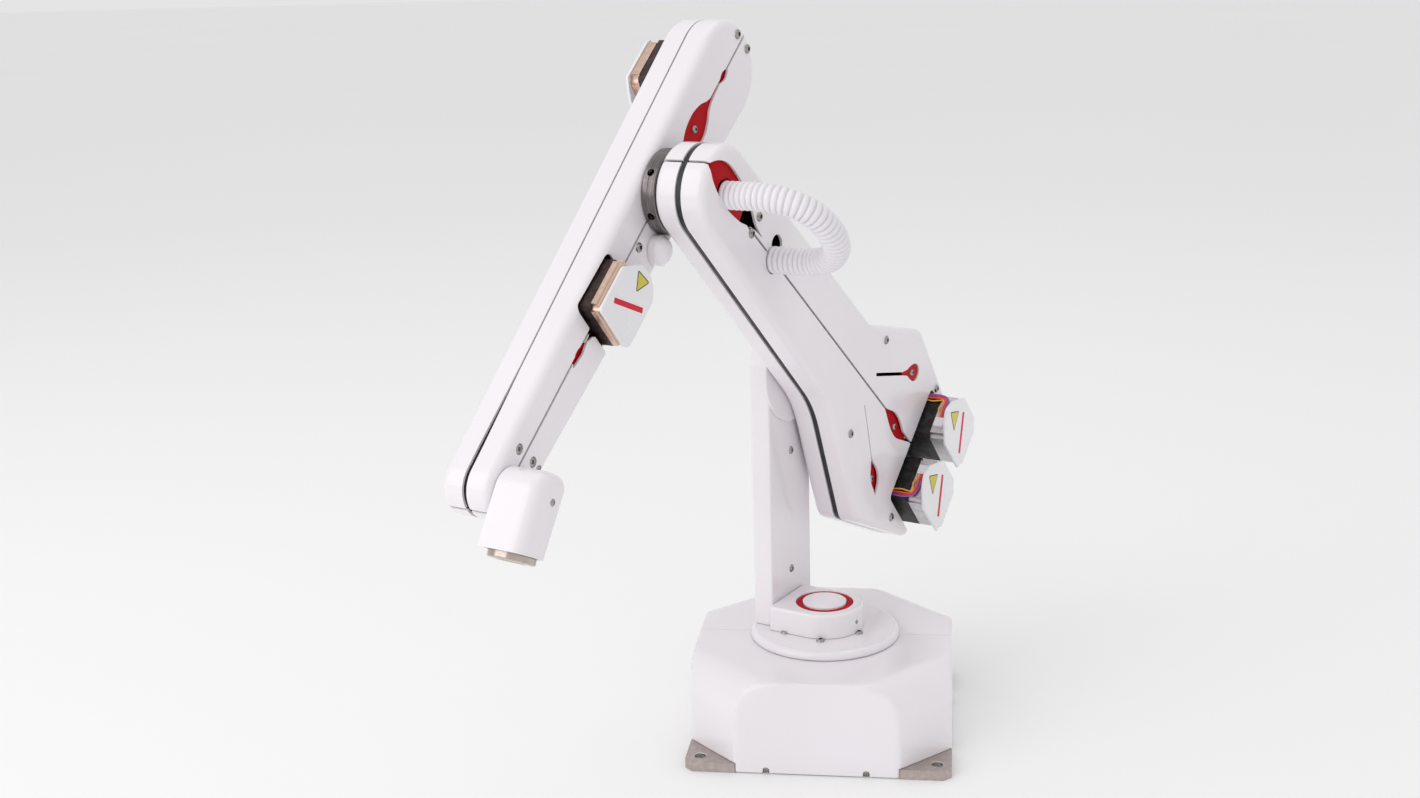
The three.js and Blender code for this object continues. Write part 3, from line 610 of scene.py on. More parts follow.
def even(line, step):
    """The same line in equal steps of about `step`, and its length."""
    total = sum((b - a).length for a, b in zip(line, line[1:]))
    count = round(total / step)
    found, done, i = [line[0]], 0.0, 0
    for k in range(1, count):
        want = total * k / count
        while done + (line[i + 1] - line[i]).length < want:
            done += (line[i + 1] - line[i]).length
            i += 1
        found.append(line[i].lerp(line[i + 1], (want - done) / (line[i + 1] - line[i]).length))
    return found + [line[-1]], total


def sweep(line, radii, sides=32):
    """A tube of changing radius along a line, in metres, with closed ends."""
    tangent = (line[1] - line[0]).normalized()
    normal = tangent.orthogonal().normalized()
    verts, rows = [], len(line)
    for i, p in enumerate(line):
        new = (line[min(i + 1, rows - 1)] - line[max(i - 1, 0)]).normalized()
        normal = (tangent.rotation_difference(new) @ normal).normalized()
        tangent, side = new, new.cross(normal)
        verts += [(p + (normal * c + side * s) * radii[i]) / MM for c, s in circle(sides)]
    return smooth(as_object(verts, grid(rows, sides, rows - 1) + caps(rows, sides), False))


RIB = (-0.00150, -0.00125, -0.00042, -0.0001, 0.0, 0.0, 0.0, -0.0001, -0.00042, -0.00125)
route = smooth_line([TURN @ Vector(p) for p in HOSE_ROUTE])
length = even(route, 0.001)[1]
fine, length = even(route, length / (round(length / HOSE_PITCH) * len(RIB)))
hose = sweep(fine, [HOSE_RADIUS + RIB[i % len(RIB)] for i in range(len(fine))])
piece(hose, "hose_ribbed", "upper_arm", HOSE_WHITE, "hose_white", ["hose"])
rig.cord(hose, exit=fine[0], length=length, diameter=2 * HOSE_RADIUS, far_end="object",
        stiffness="medium", lay="loose", path=even(route, 0.004)[0])


# ---- screws ----
def screw(at, outward, radius, height=None):
    """A button-head screw with a hexagon socket; `at` and `outward` in the arm's directions."""
    height = height or radius * 0.52
    out = Vector(outward).normalized()
    side = out.orthogonal().normalized()
    up, sides = out.cross(side), 24
    sixth = math.pi / 3
    socket = [0.40 / math.cos((2 * math.pi * k / sides + sixth / 2) % sixth - sixth / 2) for k in range(sides)]
    dome = [(1.0, -0.5), (1.0, 0.0), (0.97, 0.35), (0.86, 0.68), (0.7, 0.88), (0.54, 0.98), (0.5, 1.0)]
    rows = [([r] * sides, h) for r, h in dome] + [(socket, 1.0), (socket, 0.15)]
    return loft([[Vector(at) + (side * c + up * s) * r * radius + out * h * height
                  for r, (c, s) in zip(row, circle(sides))] for row, h in rows])


def row(x, way, places, radius=HEAD, height=None):
    """Screws at the (y, z) places of a face across the arm that looks in direction `way`."""
    return [screw((x, y, z), (way, 0, 0), radius, height) for y, z in places]


def sinks(face, way, centres):
    """Shallow round pockets in a face for screw heads that something passes over."""
    low, high = sorted((face - way * SINK, face + way * 3))
    return [prism(disc(c, SINK_RADIUS, 32), low, high) for c in centres]


def screws(name, body, *heads):
    return piece(soften(joined(heads), 0, limit=35), name, body, SCREW_STEEL, "dark_steel")


# ---- base ----
DIAGONAL = (SIDE - PANEL_CORNER) / math.sqrt(2)
SHOULDER_Z, BEND, BLEND, MOUTH = 43, 28 / math.sqrt(2) + 2, 2.2, 36
BASE_WALL, BASE_SEAM = 3.0, 0.4


def base_depth(x, y, z, inset):
    """Below zero inside the base's shell: four flat panels blended into an arched octagon."""
    half, top, diagonal = SIDE / 2 - inset, COVER_TOP - inset, DIAGONAL - inset
    panel = max(abs(x), abs(y)) - half
    over = max(0, (abs(x) + abs(y)) / math.sqrt(2) - diagonal + BEND) / BEND
    arch = (math.hypot(over, max(0, z - SHOULDER_Z) / (top - SHOULDER_Z)) - 1) * BEND
    near = max(0, BLEND - abs(panel - arch))
    return max(panel, arch) + near * near / (4 * BLEND)


def base_reach(angle, start, climb, inset):
    """How far a ray from the base's axis runs to its shell."""
    near, far = 20.0, 160.0
    for _ in range(26):
        middle = (near + far) / 2
        r = middle * math.cos(climb)
        inside = base_depth(r * math.cos(angle), r * math.sin(angle), start + middle * math.sin(climb), inset) < 0
        near, far = (middle, far) if inside else (near, middle)
    return near


def base_shell():
    """The whole hollow shell, open below and at the turntable, as one grid of faces."""
    edge = math.degrees(math.atan2(PANEL, SIDE / 2))
    eighth = sorted({*range(0, 46, 3), *[edge + d * 0.3 for d in range(-9, 10)], 45})
    eighth = [math.radians(a) for a in eighth if 0 <= a <= 45]
    ways = [(a, i) for i, a in enumerate(eighth)] + \
        [(math.pi / 2 - a, i) for i, a in reversed(list(enumerate(eighth)))][1:-1]
    z0 = 40
    rays = [(z, 0) for z in (1, 2.5, 8, 16, 24, 32)] + [(z0, math.radians(e * 0.75)) for e in range(0, 30)]
    end = math.atan2(COVER_TOP - z0, MOUTH)
    rays += [(z0, rays[-1][1] + (end - rays[-1][1]) * k / 4) for k in range(1, 5)]
    verts = []
    for inset, order in ((0, rays), (BASE_WALL, rays[::-1])):
        for start, climb in order:
            reach = [base_reach(a, start, climb, inset) for a in eighth]
            for quarter in range(4):
                for a, i in ways:
                    a += quarter * math.pi / 2
                    r = reach[i] * math.cos(climb)
                    verts.append((r * math.cos(a), r * math.sin(a), start + reach[i] * math.sin(climb)))
    return as_object(verts, grid(2 * len(rays), 4 * len(ways)), False)


NOTCHES, QUARTERS = (-38, 37), ((0, 1), (1, 0), (0, -1), (-1, 0))


def base_cover(front):
    body = base_shell()
    ys = (-120, -BASE_SEAM / 2) if front else (BASE_SEAM / 2, 120)
    boolean(body, block((-120, ys[0], -10), (120, ys[1], 90)), operation="INTERSECT")
    edge, top, tools = SIDE / 2 + 1, PLATE_TOP + 0.3, []
    for x, y in ((1, 1), (1, -1), (-1, 1), (-1, -1)):
        xs, ys = sorted((x * PANEL, x * edge)), sorted((y * PANEL, y * edge))
        if (y < 0) == front:
            tools.append(block((xs[0], ys[0], -1), (xs[1], ys[1], top)))
    for s, c in QUARTERS:  # notches for the screws at the foot of each panel
        for u in NOTCHES:
            if (u * s - SIDE / 2 * c < 0) != front:
                continue
            outline = rounded([(u - 2.6, -2, 0.2), (u + 2.6, -2, 0.2), (u + 2.6, 5.4, 2.4), (u - 2.6, 5.4, 2.4)])
            tools.append(loft([[(x * c - d * s, x * s + d * c, z) for x, z in outline]
                               for d in (-SIDE / 2 - 2, -SIDE / 2 + 4)], False))
    if not front:
        low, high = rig.box("power_inlet")
        tools.append(block((low.x / MM - 0.3, 90, low.z / MM - 0.3), (high.x / MM + 0.3, 110, high.z / MM + 0.3)))
    return soften(boolean(body, *tools), 0.25)


for front in (True, False):
    name = f"base_cover_{'front' if front else 'rear'}"
    piece(base_cover(front), name + "_shell", "base", WHITE, "white_shell", [name])

heads = []
for s, c in QUARTERS:
    for u in NOTCHES:
        y = -SIDE / 2 + 2.2
        local = TURN.inverted() @ Vector((u * c - y * s, u * s + y * c, 2.9))
        heads.append(screw(local, TURN.inverted() @ Vector((s, -c, 0)), 2.1, 1.3))
screws("base_screws", "base", *heads)

plate = frame["nodes"]["base_plate"]
m = plate.modifiers.new("edges", "BEVEL")
m.width, m.segments, m.limit_method, m.angle_limit = 0.5 * MM, 2, "ANGLE", math.radians(40)

BOLTS, RIM, BORE = SIDE / 2 - 10.8, 4.85, 4.3
rims = [lathe_up([(BORE, 1), (RIM, 1), (RIM, PLATE_TOP + 0.2), (4.5, PLATE_TOP + 0.2), (BORE, PLATE_TOP)],
                 (i * BOLTS, j * BOLTS), 48, False) for i in (-1, 1) for j in (-1, 1)]
piece(soften(joined(rims), 0), "bolt_hole_rims", "base", BRIGHT, "bright_metal")

low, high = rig.box("power_inlet")
pins = []
for x in (-7, 0, 7):
    y, z = high.y / MM - 13.5, (low.z + high.z) / 2 / MM + (3 if x == 0 else -1)
    pins.append(block((x - 1, y, z - 2.4), (x + 1, y + 11, z + 2.4)))
piece(soften(joined(pins), 0.3), "inlet_pins", "base", BRIGHT, "bright_metal")

# ---- turntable, pedestal and its ring ----
rim = DISC_RADIUS
table = [(14.3, DISC_LOW), (rim - 1.5, DISC_LOW), (rim - 0.4, DISC_LOW + 0.4), (rim, DISC_LOW + 1.5)]
table += arc((rim - 5.2, DISC_HIGH - 4.6), 5.0, math.radians(8), math.radians(72), math.radians(8))
table += [(rim - 6.2, DISC_HIGH - 0.05), (rim - 8, DISC_HIGH), (14.3, DISC_HIGH)]
piece(soften(lathe_up(table, count=160), 0), "turntable_plate", "turret", WHITE, "white_shell",
      ["turntable_disc"])

PEDESTAL_RADIUS, PEDESTAL_BACK, RING_DEPTH = 30.4, 27, 1.1
ring_low, ring_high = (c.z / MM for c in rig.box("indicator_ring"))
RING = span("indicator_ring")[1].x
CAP = span("indicator_cap")[1].x
COLUMN_LOW, COLUMN_HIGH = span("column")


def pedestal_outline(inset):
    left = span("pedestal")[0].x
    return rounded([(left, -PEDESTAL_RADIUS, 4), (PEDESTAL_RADIUS, -PEDESTAL_RADIUS, PEDESTAL_RADIUS - 0.1),
                    (PEDESTAL_RADIUS, PEDESTAL_BACK, PEDESTAL_BACK - 0.4), (left, PEDESTAL_BACK, 2)], inset)


body = rise(pedestal_outline, [(0, PEDESTAL_LOW), *round_edge(2.6, PEDESTAL_HIGH, 1)])
boolean(body, lathe_up([(0, ring_low - 0.3), (RING + 0.3, ring_low - 0.3), (RING + 0.3, 110), (0, 110)]))
piece(soften(body), "pedestal_block", "turret", WHITE, "white_shell", ["pedestal"])
bore = CAP + 0.3
sunk = ring_high - RING_DEPTH
ring = [(bore, ring_low), (RING, ring_low), (RING, sunk - 0.4), (RING - 0.4, sunk), (bore + 0.4, sunk),
        (bore, sunk - 0.4)]
piece(soften(lathe_up(ring, count=128), 0), "ring_red", "turret", RED, "red_plastic", ["indicator_ring"])
dome = [(0, ring_low), (CAP, ring_low), (CAP, ring_high), (CAP - 0.3, ring_high + 0.3),
        (CAP - 2.5, ring_high + 0.7), (0, ring_high + 1.0)]
piece(soften(lathe_up(dome, count=128), 0), "cap_white", "turret", WHITE, "white_shell", ["indicator_cap"])


# ---- column and shoulder hub ----
def column_outline(inset):
    low, high = COLUMN_LOW, COLUMN_HIGH
    middle, half = (low.y + high.y) / 2, (high.y - low.y) / 2
    foot = [(low.y + inset, low.z + inset), (high.y - inset, low.z + inset)]
    return foot + arc((middle, high.z - half), half - inset, 0, math.pi)


rings = [*reversed(round_edge(1.6, COLUMN_LOW.x, -1, 4)), *round_edge(1.6, COLUMN_HIGH.x, 1, 4)]
body = across(column_outline, rings)
boolean(body, prism(disc(SHOULDER, 17, 96), -60, -30))
piece(soften(body), "column_post", "turret", WHITE, "white_shell", ["column"])

HUB = (span("shoulder_hub")[1].y - span("shoulder_hub")[0].y) / 2
hub = [(0, -50), (11, -50), (12.2, -48.9), (16, -48.9), (16.7, -48.2), (16.7, -34.1), (HUB, -34.1),
       (HUB, -33.0), (HUB - 0.5, -32.4), (HUB - 1.2, -32.3), (8, -32.3), (8, -9.8), (20, -9.8), (20, -4.2), (0, -4.2)]
piece(soften(lathe_across(hub, SHOULDER, 128), 0), "shoulder_hub_disc", "turret", WHITE, "white_shell",
      ["shoulder_hub"])


# ---- covers of the two arm sections ----
def cover(outline, inner, outer, holes):
    """A hollow half shell with a rounded outer edge, and holes cut through its face."""
    way = math.copysign(1, outer - inner)
    body = across(outline, [(0, inner), *round_edge(EDGE, outer, way, 10)])
    inside = [(WALL + inset, x) for inset, x in round_edge(EDGE - WALL, outer - way * WALL, way, 6)]
    tools = [across(outline, [(WALL, inner - way * 2), *inside])]
    tools += [prism(shape, min(inner, outer) - 8, max(inner, outer) + 8) for shape in holes]
    return boolean(body, *tools)


def centre_plate(rider, outline, shrink, low, high, bores):
    """The dark plate between the covers, with bores of (centre, radius, sides) cut from low to high."""
    plate = span(f"{rider}_frame")
    body = across(lambda inset: outline(shrink + inset), [(0, plate[0].x), (0, plate[1].x)])
    boolean(body, *[prism(disc(*bore), low, high) for bore in bores])
    piece(soften(body), f"{rider}_plate", rider, CHARCOAL, "frame_black", [f"{rider}_frame"])


def halves(name, body, region, seam_turn, rider):
    """Splits a cover along its seam into a front and a rear piece."""
    s, c = math.sin(seam_turn), math.cos(seam_turn)
    other = bpy.data.objects.new("other", body.data.copy())
    bpy.context.scene.collection.objects.link(other)
    boolean(body, prism(region, -200, 200), operation="INTERSECT")
    boolean(other, prism([(y - s * SEAM, z + c * SEAM) for y, z in region], -200, 200))
    for obj, part in ((body, "front"), (other, "rear")):
        piece(soften(obj), f"{name}_{part}_shell", rider, WHITE, "white_shell", [f"{name}_{part}"])


# ---- upper arm ----
UPPER_LEFT, UPPER_RIGHT = span("upper_arm_cover_left_rear"), span("upper_arm_cover_right_rear")
HOSE_EXIT = tuple(v / MM for v in HOSE_ROUTE[-1][1:])
TENSIONER = (148, 253)


def upper_outline(inset):
    u = (Vector(ELBOW) - Vector(SHOULDER)).normalized()
    end = [(ELBOW[0] + (u.x - u.y * side) * ELBOW_REACH, ELBOW[1] + (u.y + u.x * side) * ELBOW_REACH,
            ELBOW_REACH - 0.5) for side in (1, -1)]
    return rounded([end[0], (5, 257, 90), (46, 153, 16), (146, 108, 13), (230, 200, 14), (167, 287, 14),
                    (75, 308, 46), end[1]], inset)


MOTORS_MIDDLE = tuple((Vector(ELBOW_MOTOR) + Vector(SHOULDER_MOTOR)) / 2)


def motors_at(u, v):
    """A point in the directions of the two upper motors."""
    return spun(MOTORS_MIDDLE, UPPER_MOTOR_TURN, u, v)


UPPER_SEAM = [(-300, 464), (-166, 464), (-118, 414), (96, 234), (141, 195), (300, 70), (300, 0), (-300, 0)]
UPPER_SEAM_TURN = math.atan2(234 - 414, 96 + 118)
ELBOW_EYE = [(-164, 463), (-155, 464.5), (-142, 461), (-129, 450.5), (-117, 436), (-111, 424), (-107, 414.5),
             (-99.5, 405), (-110, 412), (-119, 416), (-130, 420.5), (-145, 430.5), (-156, 442), (-162, 451),
             (-164.5, 458)]
ARM_EYE = [(95, 236), (103, 232.5), (112, 228.8), (120, 223), (126, 215), (130, 207.5), (134, 201), (143, 194.5),
           (137, 196.6), (128, 200), (115, 205.5), (107, 213), (102, 221), (98, 229)]
DROP = [(70, 201), (72.5, 197), (77, 192), (81.5, 186), (83, 179.5), (81, 173), (76.5, 167), (72.5, 173.5),
        (69, 179.5), (67.8, 186), (68.6, 193)]
BULB = [(129, 258.4), (137, 258.6), (144, 260.4), (152, 260.6), (159, 257.4), (160.6, 252), (156.6, 247),
        (149.5, 245.8), (142, 249.4), (136.5, 253.4), (129, 255.6)]
UPPER_SUNK = [(-103, 420), (-122, 402)]
right_holes = [
    *[smooth_loop(shape) for shape in (ELBOW_EYE, ARM_EYE, DROP)], smooth_loop(BULB, 5),
    tilted((64, 223), math.atan2(-47, 12), -25, 24, -0.6, 0.6),
    tilted((104.5, 262), math.atan2(-10.6, 51), -26, 26, -1.4, 1.4, 0.6),
    disc(HOSE_EXIT, 10.2), disc((HOSE_EXIT[0] + 6, HOSE_EXIT[1] + 9.5), 7.5),
    rounded([*[motors_at(u, v) + (r,) for u, v, r in ((55, 26.5, 5), (-57, 26.5, 5), (-57, -25, 3.6))],
             *[(y, z, r) for y, z, r in ((134.3, 112.8, 4.2), (122, 118.4, 0.2), (110, 92, 0.2))],
             motors_at(-40, -90) + (0.2,), motors_at(55, -80) + (0.2,)])]
body = cover(upper_outline, UPPER_RIGHT[0].x, UPPER_RIGHT[1].x, right_holes)
halves("upper_arm_cover_right", body, UPPER_SEAM, UPPER_SEAM_TURN, "upper_arm")
body = cover(upper_outline, UPPER_LEFT[1].x, UPPER_LEFT[0].x, [disc(SHOULDER, 13), disc(ELBOW, 13)])
boolean(body, *sinks(UPPER_LEFT[0].x, -1, UPPER_SUNK))
halves("upper_arm_cover_left", body, UPPER_SEAM, UPPER_SEAM_TURN, "upper_arm")

centre_plate("upper_arm", upper_outline, 1.0, -20, 0,
             ((SHOULDER, 10), (ELBOW, 13), (ELBOW_MOTOR, 11, 40), (SHOULDER_MOTOR, 11, 40)))

BOTH_SIDES = ((97, 292), (196, 229), (33, 230), (106, 139))
screws("upper_arm_screws", "upper_arm",
       *row(UPPER_RIGHT[1].x - 0.2, 1, ((-103, 420), (-114, 410), *BOTH_SIDES)),
       *row(UPPER_LEFT[0].x + 0.2, -1, (*BOTH_SIDES, (150, 180))),
       *row(UPPER_LEFT[0].x + SINK, -1, UPPER_SUNK, HEAD, SUNK_HEIGHT),
       *row(5.9, 1, [(148, 253.6)], MID_HEAD))

# ---- forearm ----
FORE_LEFT, FORE_RIGHT = span("forearm_cover_left_rear"), span("forearm_cover_right_rear")
FORE_PLATE = span("forearm_frame")
GROOVE, GROOVE_END, GROOVE_RUN = 1.4, 1.0, (15, 78)
FORE_MIDDLE = (FORE_PLATE[0].x + FORE_PLATE[1].x) / 2
FORE_TILT, MOTOR_ROOM = 0.0042, 24.5


def fore_outline(inset):
    return taper(WRIST, FORE_TIP, CROWN, FORE_CROWN, inset)


def fore_groove(way):
    """A wedge that opens the groove between the halves out round the wrist end."""
    lip = FORE_MIDDLE + way * GROOVE / 2
    edge = [(-60, -1), (-60, GROOVE_END), (GROOVE_RUN[0], GROOVE_END), (GROOVE_RUN[1], -0.05), (GROOVE_RUN[1], -1)]
    return loft([[(lip + way * x, *along_fore(t, side)) for t, x in edge] for side in (-60, 60)])


ROLL_SEAT = along_fore(347, 4.8)
FORE_SEAM = [along_fore(-100, 3.2), along_fore(500, 5.7), along_fore(500, 200), along_fore(-100, 200)]
BIG_EYE = [(346, 3), (334, 4), (325, 6.8), (317, 11.3), (305, 14), (292, 12.5), (282, 7.5), (274, 2.4), (284, -5),
           (295, -8.7), (307, -9), (317, -5.2), (323, -1), (329, 1), (336, 2.1)]
SMALL_EYE = [(361, 3.6), (356, 5.9), (351.5, 6.4), (346, 3.2), (352.5, 0.2), (357, 0.6)]
LOW_EYE = [(124, 0.8), (114, 2), (108, 4.3), (103, 4.9), (99, 3.6), (94, 0.2), (103, -1.4), (108, -1.8), (113, -0.6)]
FLARE = [(126, 8), (123.4, 5), (121, 2.4), (117, 0.9), (117, -0.7), (121, -2), (124, -5), (126, -9)]
FORE_SUNK = [(-317, 303), (-304.3, 291.2), (-299, 284)]
right_holes = [smooth_loop([along_fore(t, s) for t, s in shape]) for shape in (BIG_EYE, SMALL_EYE, LOW_EYE)]
right_holes += [[along_fore(t, s) for t, s in FLARE], disc(ELBOW, 16), disc(WRIST, 9),
                tilted(PITCH_MOTOR, FORE_TURN, -MOTOR_ROOM, MOTOR_ROOM, -24, 23, 5)]
body = cover(fore_outline, FORE_MIDDLE + GROOVE / 2, FORE_RIGHT[1].x, right_holes)
boolean(body, prism(tilted(PITCH_MOTOR, FORE_TURN, -MOTOR_ROOM, MOTOR_ROOM, -60, 0, 4),
                    FORE_PLATE[1].x + 9, FORE_RIGHT[1].x + 5), fore_groove(1), *sinks(FORE_RIGHT[1].x, 1, FORE_SUNK))
halves("forearm_cover_right", body, FORE_SEAM, FORE_TURN + FORE_TILT + math.pi, "forearm")
body = cover(fore_outline, FORE_MIDDLE - GROOVE / 2, FORE_LEFT[0].x,
             [tilted(ROLL_SEAT, FORE_TURN, -23, 23, -24, 23, 4)])
boolean(body, fore_groove(-1))
halves("forearm_cover_left", body, FORE_SEAM, FORE_TURN + FORE_TILT + math.pi, "forearm")

centre_plate("forearm", fore_outline, WALL + 0.4, -70, -55,
             ((ELBOW, 10), (WRIST, 5), (PITCH_MOTOR, 11, 40), (ROLL_MOTOR, 11, 40)))

LEFT_PLACES = ((378, -6), (25, 10), (25, -10), (190, 16), (190, -16))
screws("forearm_screws", "forearm",
       *row(FORE_RIGHT[1].x - 0.2, 1, ((-42, 540), (-29, 529), (-178, 407))),
       *row(FORE_RIGHT[1].x - SINK, 1, FORE_SUNK, HEAD, SUNK_HEIGHT),
       *row(FORE_LEFT[0].x + 0.2, -1, [along_fore(*p) for p in LEFT_PLACES]))

low, high = span("forearm_cap")
centre = ((low.y + high.y) / 2, (low.z + high.z) / 2)
radius = (high.y - low.y) / 2
cap = [(0, low.x), (radius, low.x), (radius, high.x - 5.2), *arc((radius - 7.4, high.x - 7.6), 7.4, 0.33,
       math.pi / 2, math.radians(10)), (0, high.x)]
piece(soften(lathe_across(cap, centre, 64), 0), "forearm_bumper", "forearm", WHITE, "white_shell",
      ["forearm_cap"])


# ---- red pulleys behind the openings, and the tensioner ----
def pulley(node, body, centre, steps, rim=0.6):
    """A lathe body from (radius, from, to) steps, the last with a bevelled rim."""
    profile = [(0, steps[0][1])]
    for r, start, end in steps[:-1]:
        profile += [(r, start), (r, end)]
    r, start, end = steps[-1]
    profile += [(r, start), (r, end - rim), (r - rim * 1.6, end), (r * 0.55, end), (r * 0.5, end - 0.35),
                (0, end - 0.35)]
    piece(soften(lathe_across(profile, centre), 0), f"{node}_disc", body, RED, "red_plastic", [node])


SHOULDER_IDLER, ELBOW_IDLER = joint_at("shoulder_reduction_spin"), joint_at("elbow_reduction_spin")
PITCH_IDLER, ROLL_IDLER = joint_at("pitch_reduction_spin"), joint_at("roll_reduction_spin")
pulley("elbow_idler", "elbow_reduction", ELBOW_IDLER, [(16, -27, -19), (4, -19, -2.8), (8, -2.8, 2.2), (27, 2.3, 4.3)])
pulley("shoulder_idler", "shoulder_reduction", SHOULDER_IDLER,
       [(16, -27, -19), (4, -19, -9.8), (8, -9.8, -4.2), (4, -4.2, 2.3), (20, 2.3, 4.3)])
pulley("roll_idler", "roll_reduction", ROLL_IDLER,
       [(8, -79, -69), (4, -69, -56), (14, -56, -47.1), (30, -47.1, -45.6)], 1.2)
pulley("pitch_idler", "pitch_reduction", PITCH_IDLER,
       [(16, -77, -69), (4, -69, -58), (8, -58, -48), (13, -47.6, -45.6)])
pulley("roll_motor_pulley", "roll_drive", ROLL_MOTOR, [(2.5, -66, -56), (6.5, -56, -47.1), (13, -47.1, -45.6)])
hub = [(10, -2.8), (26, -2.8), (26, 2.2), (29.2, 2.4), (29.2, 3.0), (28.6, 3.4), (26.4, 5.0), (11.3, 5.0), (11.3, 3.8),
       (10, 3.8)]
piece(soften(lathe_across(hub, ELBOW, 128), 0), "elbow_pulley_disc", "forearm", RED, "red_plastic",
      ["elbow_pulley"])
pulley("belt_tensioner", "upper_arm", TENSIONER, [(4, -10.1, -2), (9, -2, 2.0), (9.4, 2.0, 3.6)])
middle = Vector((148, 253.4))
insert = [tuple(middle + (Vector(p) - middle) * 0.96) for p in smooth_loop(BULB, 5)]
piece(soften(prism(insert, 3.5, 6.1), 0.3), "tensioner_insert", "upper_arm", RED, "red_plastic")
GUARD_FACE, IDLER_FACE = -44.8, 3.9
guard = [along_fore(310 + (t - 310) * 1.05, 2.5 + (s - 2.5) * 1.2) for t, s in BIG_EYE]
piece(soften(prism(smooth_loop(guard), GUARD_FACE - 0.7, GUARD_FACE), 0.2), "roll_belt_guard", "forearm", RED,
      "red_plastic")
for name, rider, x, at in (("roll_belt_guard", "forearm", GUARD_FACE - 0.1, (-101, 478)),
                           ("elbow_idler", "elbow_reduction", IDLER_FACE, ELBOW_IDLER),
                           ("shoulder_idler", "shoulder_reduction", IDLER_FACE, SHOULDER_IDLER)):
    screws(f"{name}_screw", rider, *row(x, 1, [at], MID_HEAD))

# ---- elbow flange ----
low, high = span("elbow_flange")
FLANGE, FLANGE_START = (high.y - low.y) / 2, 26.5
ring = [(9, -59.8), (15, -59.8), (15, -42.8), (FLANGE - 0.6, -42.8), (FLANGE, -42.2), (FLANGE, -38.2),
        (FLANGE - 0.3, -37.9), (FLANGE - 0.3, -37.6), (FLANGE, -37.3), (FLANGE, -32.9), (FLANGE - 0.6, -32.3),
        (12, -32.3), (12, high.x), (9, high.x)]
body = lathe_across(ring, ELBOW, 128)
holes, heads, x = [], [], Vector((1, 0, 0))
middle = Vector((-37.5, *ELBOW))
for i in range(6):
    a = math.radians(i * 60 + FLANGE_START)
    out, side = Vector((0, math.cos(a), math.sin(a))), Vector((0, -math.sin(a), math.cos(a)))
    holes.append(loft([[middle + out * r + (side * c + x * s) * 2.7 for c, s in circle(28)]
                       for r in (FLANGE - 6, FLANGE + 3)]))
    heads.append(screw(middle + out * (FLANGE - 5), out, 2.3, 1.6))
piece(soften(boolean(body, *holes), 0.3), "elbow_ring", "forearm", DARK_STEEL, "dark_steel", ["elbow_flange"])
screws("elbow_ring_screws", "forearm", *heads)


# ---- motors ----
def motor_outline(centre, turn):
    h, k = MOTOR_HALF, MOTOR_CHAMFER
    corners = [(h - k, -h), (h, k - h), (h, h - k), (h - k, h), (k - h, h), (-h, h - k), (-h, k - h), (k - h, -h)]
    return lambda inset: rounded([(*spun(centre, turn, u, v), 0.8) for u, v in corners], inset)


def motor(name, centre, rider, turn, way, stack, bell, deep, notch, past, plate, label):
    """A stepper motor with its end bell and its plate, which ends `past` beyond the CAD model's."""
    near, far = (0, 1) if way > 0 else (1, 0)
    low, outer = span(name)[near].x, span(f"{name}_cover")[far].x + way * past
    high = outer - way * PLATE_DEEP
    end = high - way * deep
    outline = motor_outline(centre, turn)
    part = across(outline, [(0.5, low), (0.5, end - way * 0.25)])
    piece(soften(part, 0.3), f"{name}_stack", rider, stack, "motor_black", [name])
    part = across(outline, [(0.3, end), (0, end + way * 0.4), (0, high - way * 2), (1.0, high - way * 1.7),
                            (1.0, high)])
    reach = math.sqrt(2) * (MOTOR_HALF - MOTOR_CHAMFER / 2) + 0.4
    boolean(part, *[prism(disc(c, notch, 24), min(low, high) - 5, max(low, high) + 5)
                    for c in disc(centre, reach, 4, turn + math.pi / 4)])
    piece(soften(part, 0.25), f"{name}_bell", rider, bell, "bright_metal")
    motor_cover(f"{name}_cover", rider, centre, turn, high, outer, way, plate, *label)


PLATES = {
    "up": [(-24.8, -20.3, 1), (-20.6, -20.8, 0.8), (-17.2, -25.6, 1), (17.5, -25.6, 1), (19.8, -20.8, 0.8),
           (25.4, -16.4, 1), (24.8, 14.5, 3), (8, 33, 6), (-4, 38.5, 7), (-14.5, 33, 7), (-26, 17.8, 1.2)],
    "along": [(-20.8, -20, 3), (-16.5, -24, 2), (20.5, -24.3, 4), (28.5, -18.5, 4), (32.5, -8, 6), (31, 3, 6),
              (15.5, 19.6, 4), (-20.8, 19.6, 3.5)],
    "rear": [(20.8, 20, 2), (16.5, 21.5, 2), (-19, 21.5, 3), (-24, 14, 3), (-29, 4, 5), (-29, -6, 6),
             (-15.5, -19.6, 4), (20.8, -19.6, 3)],
}


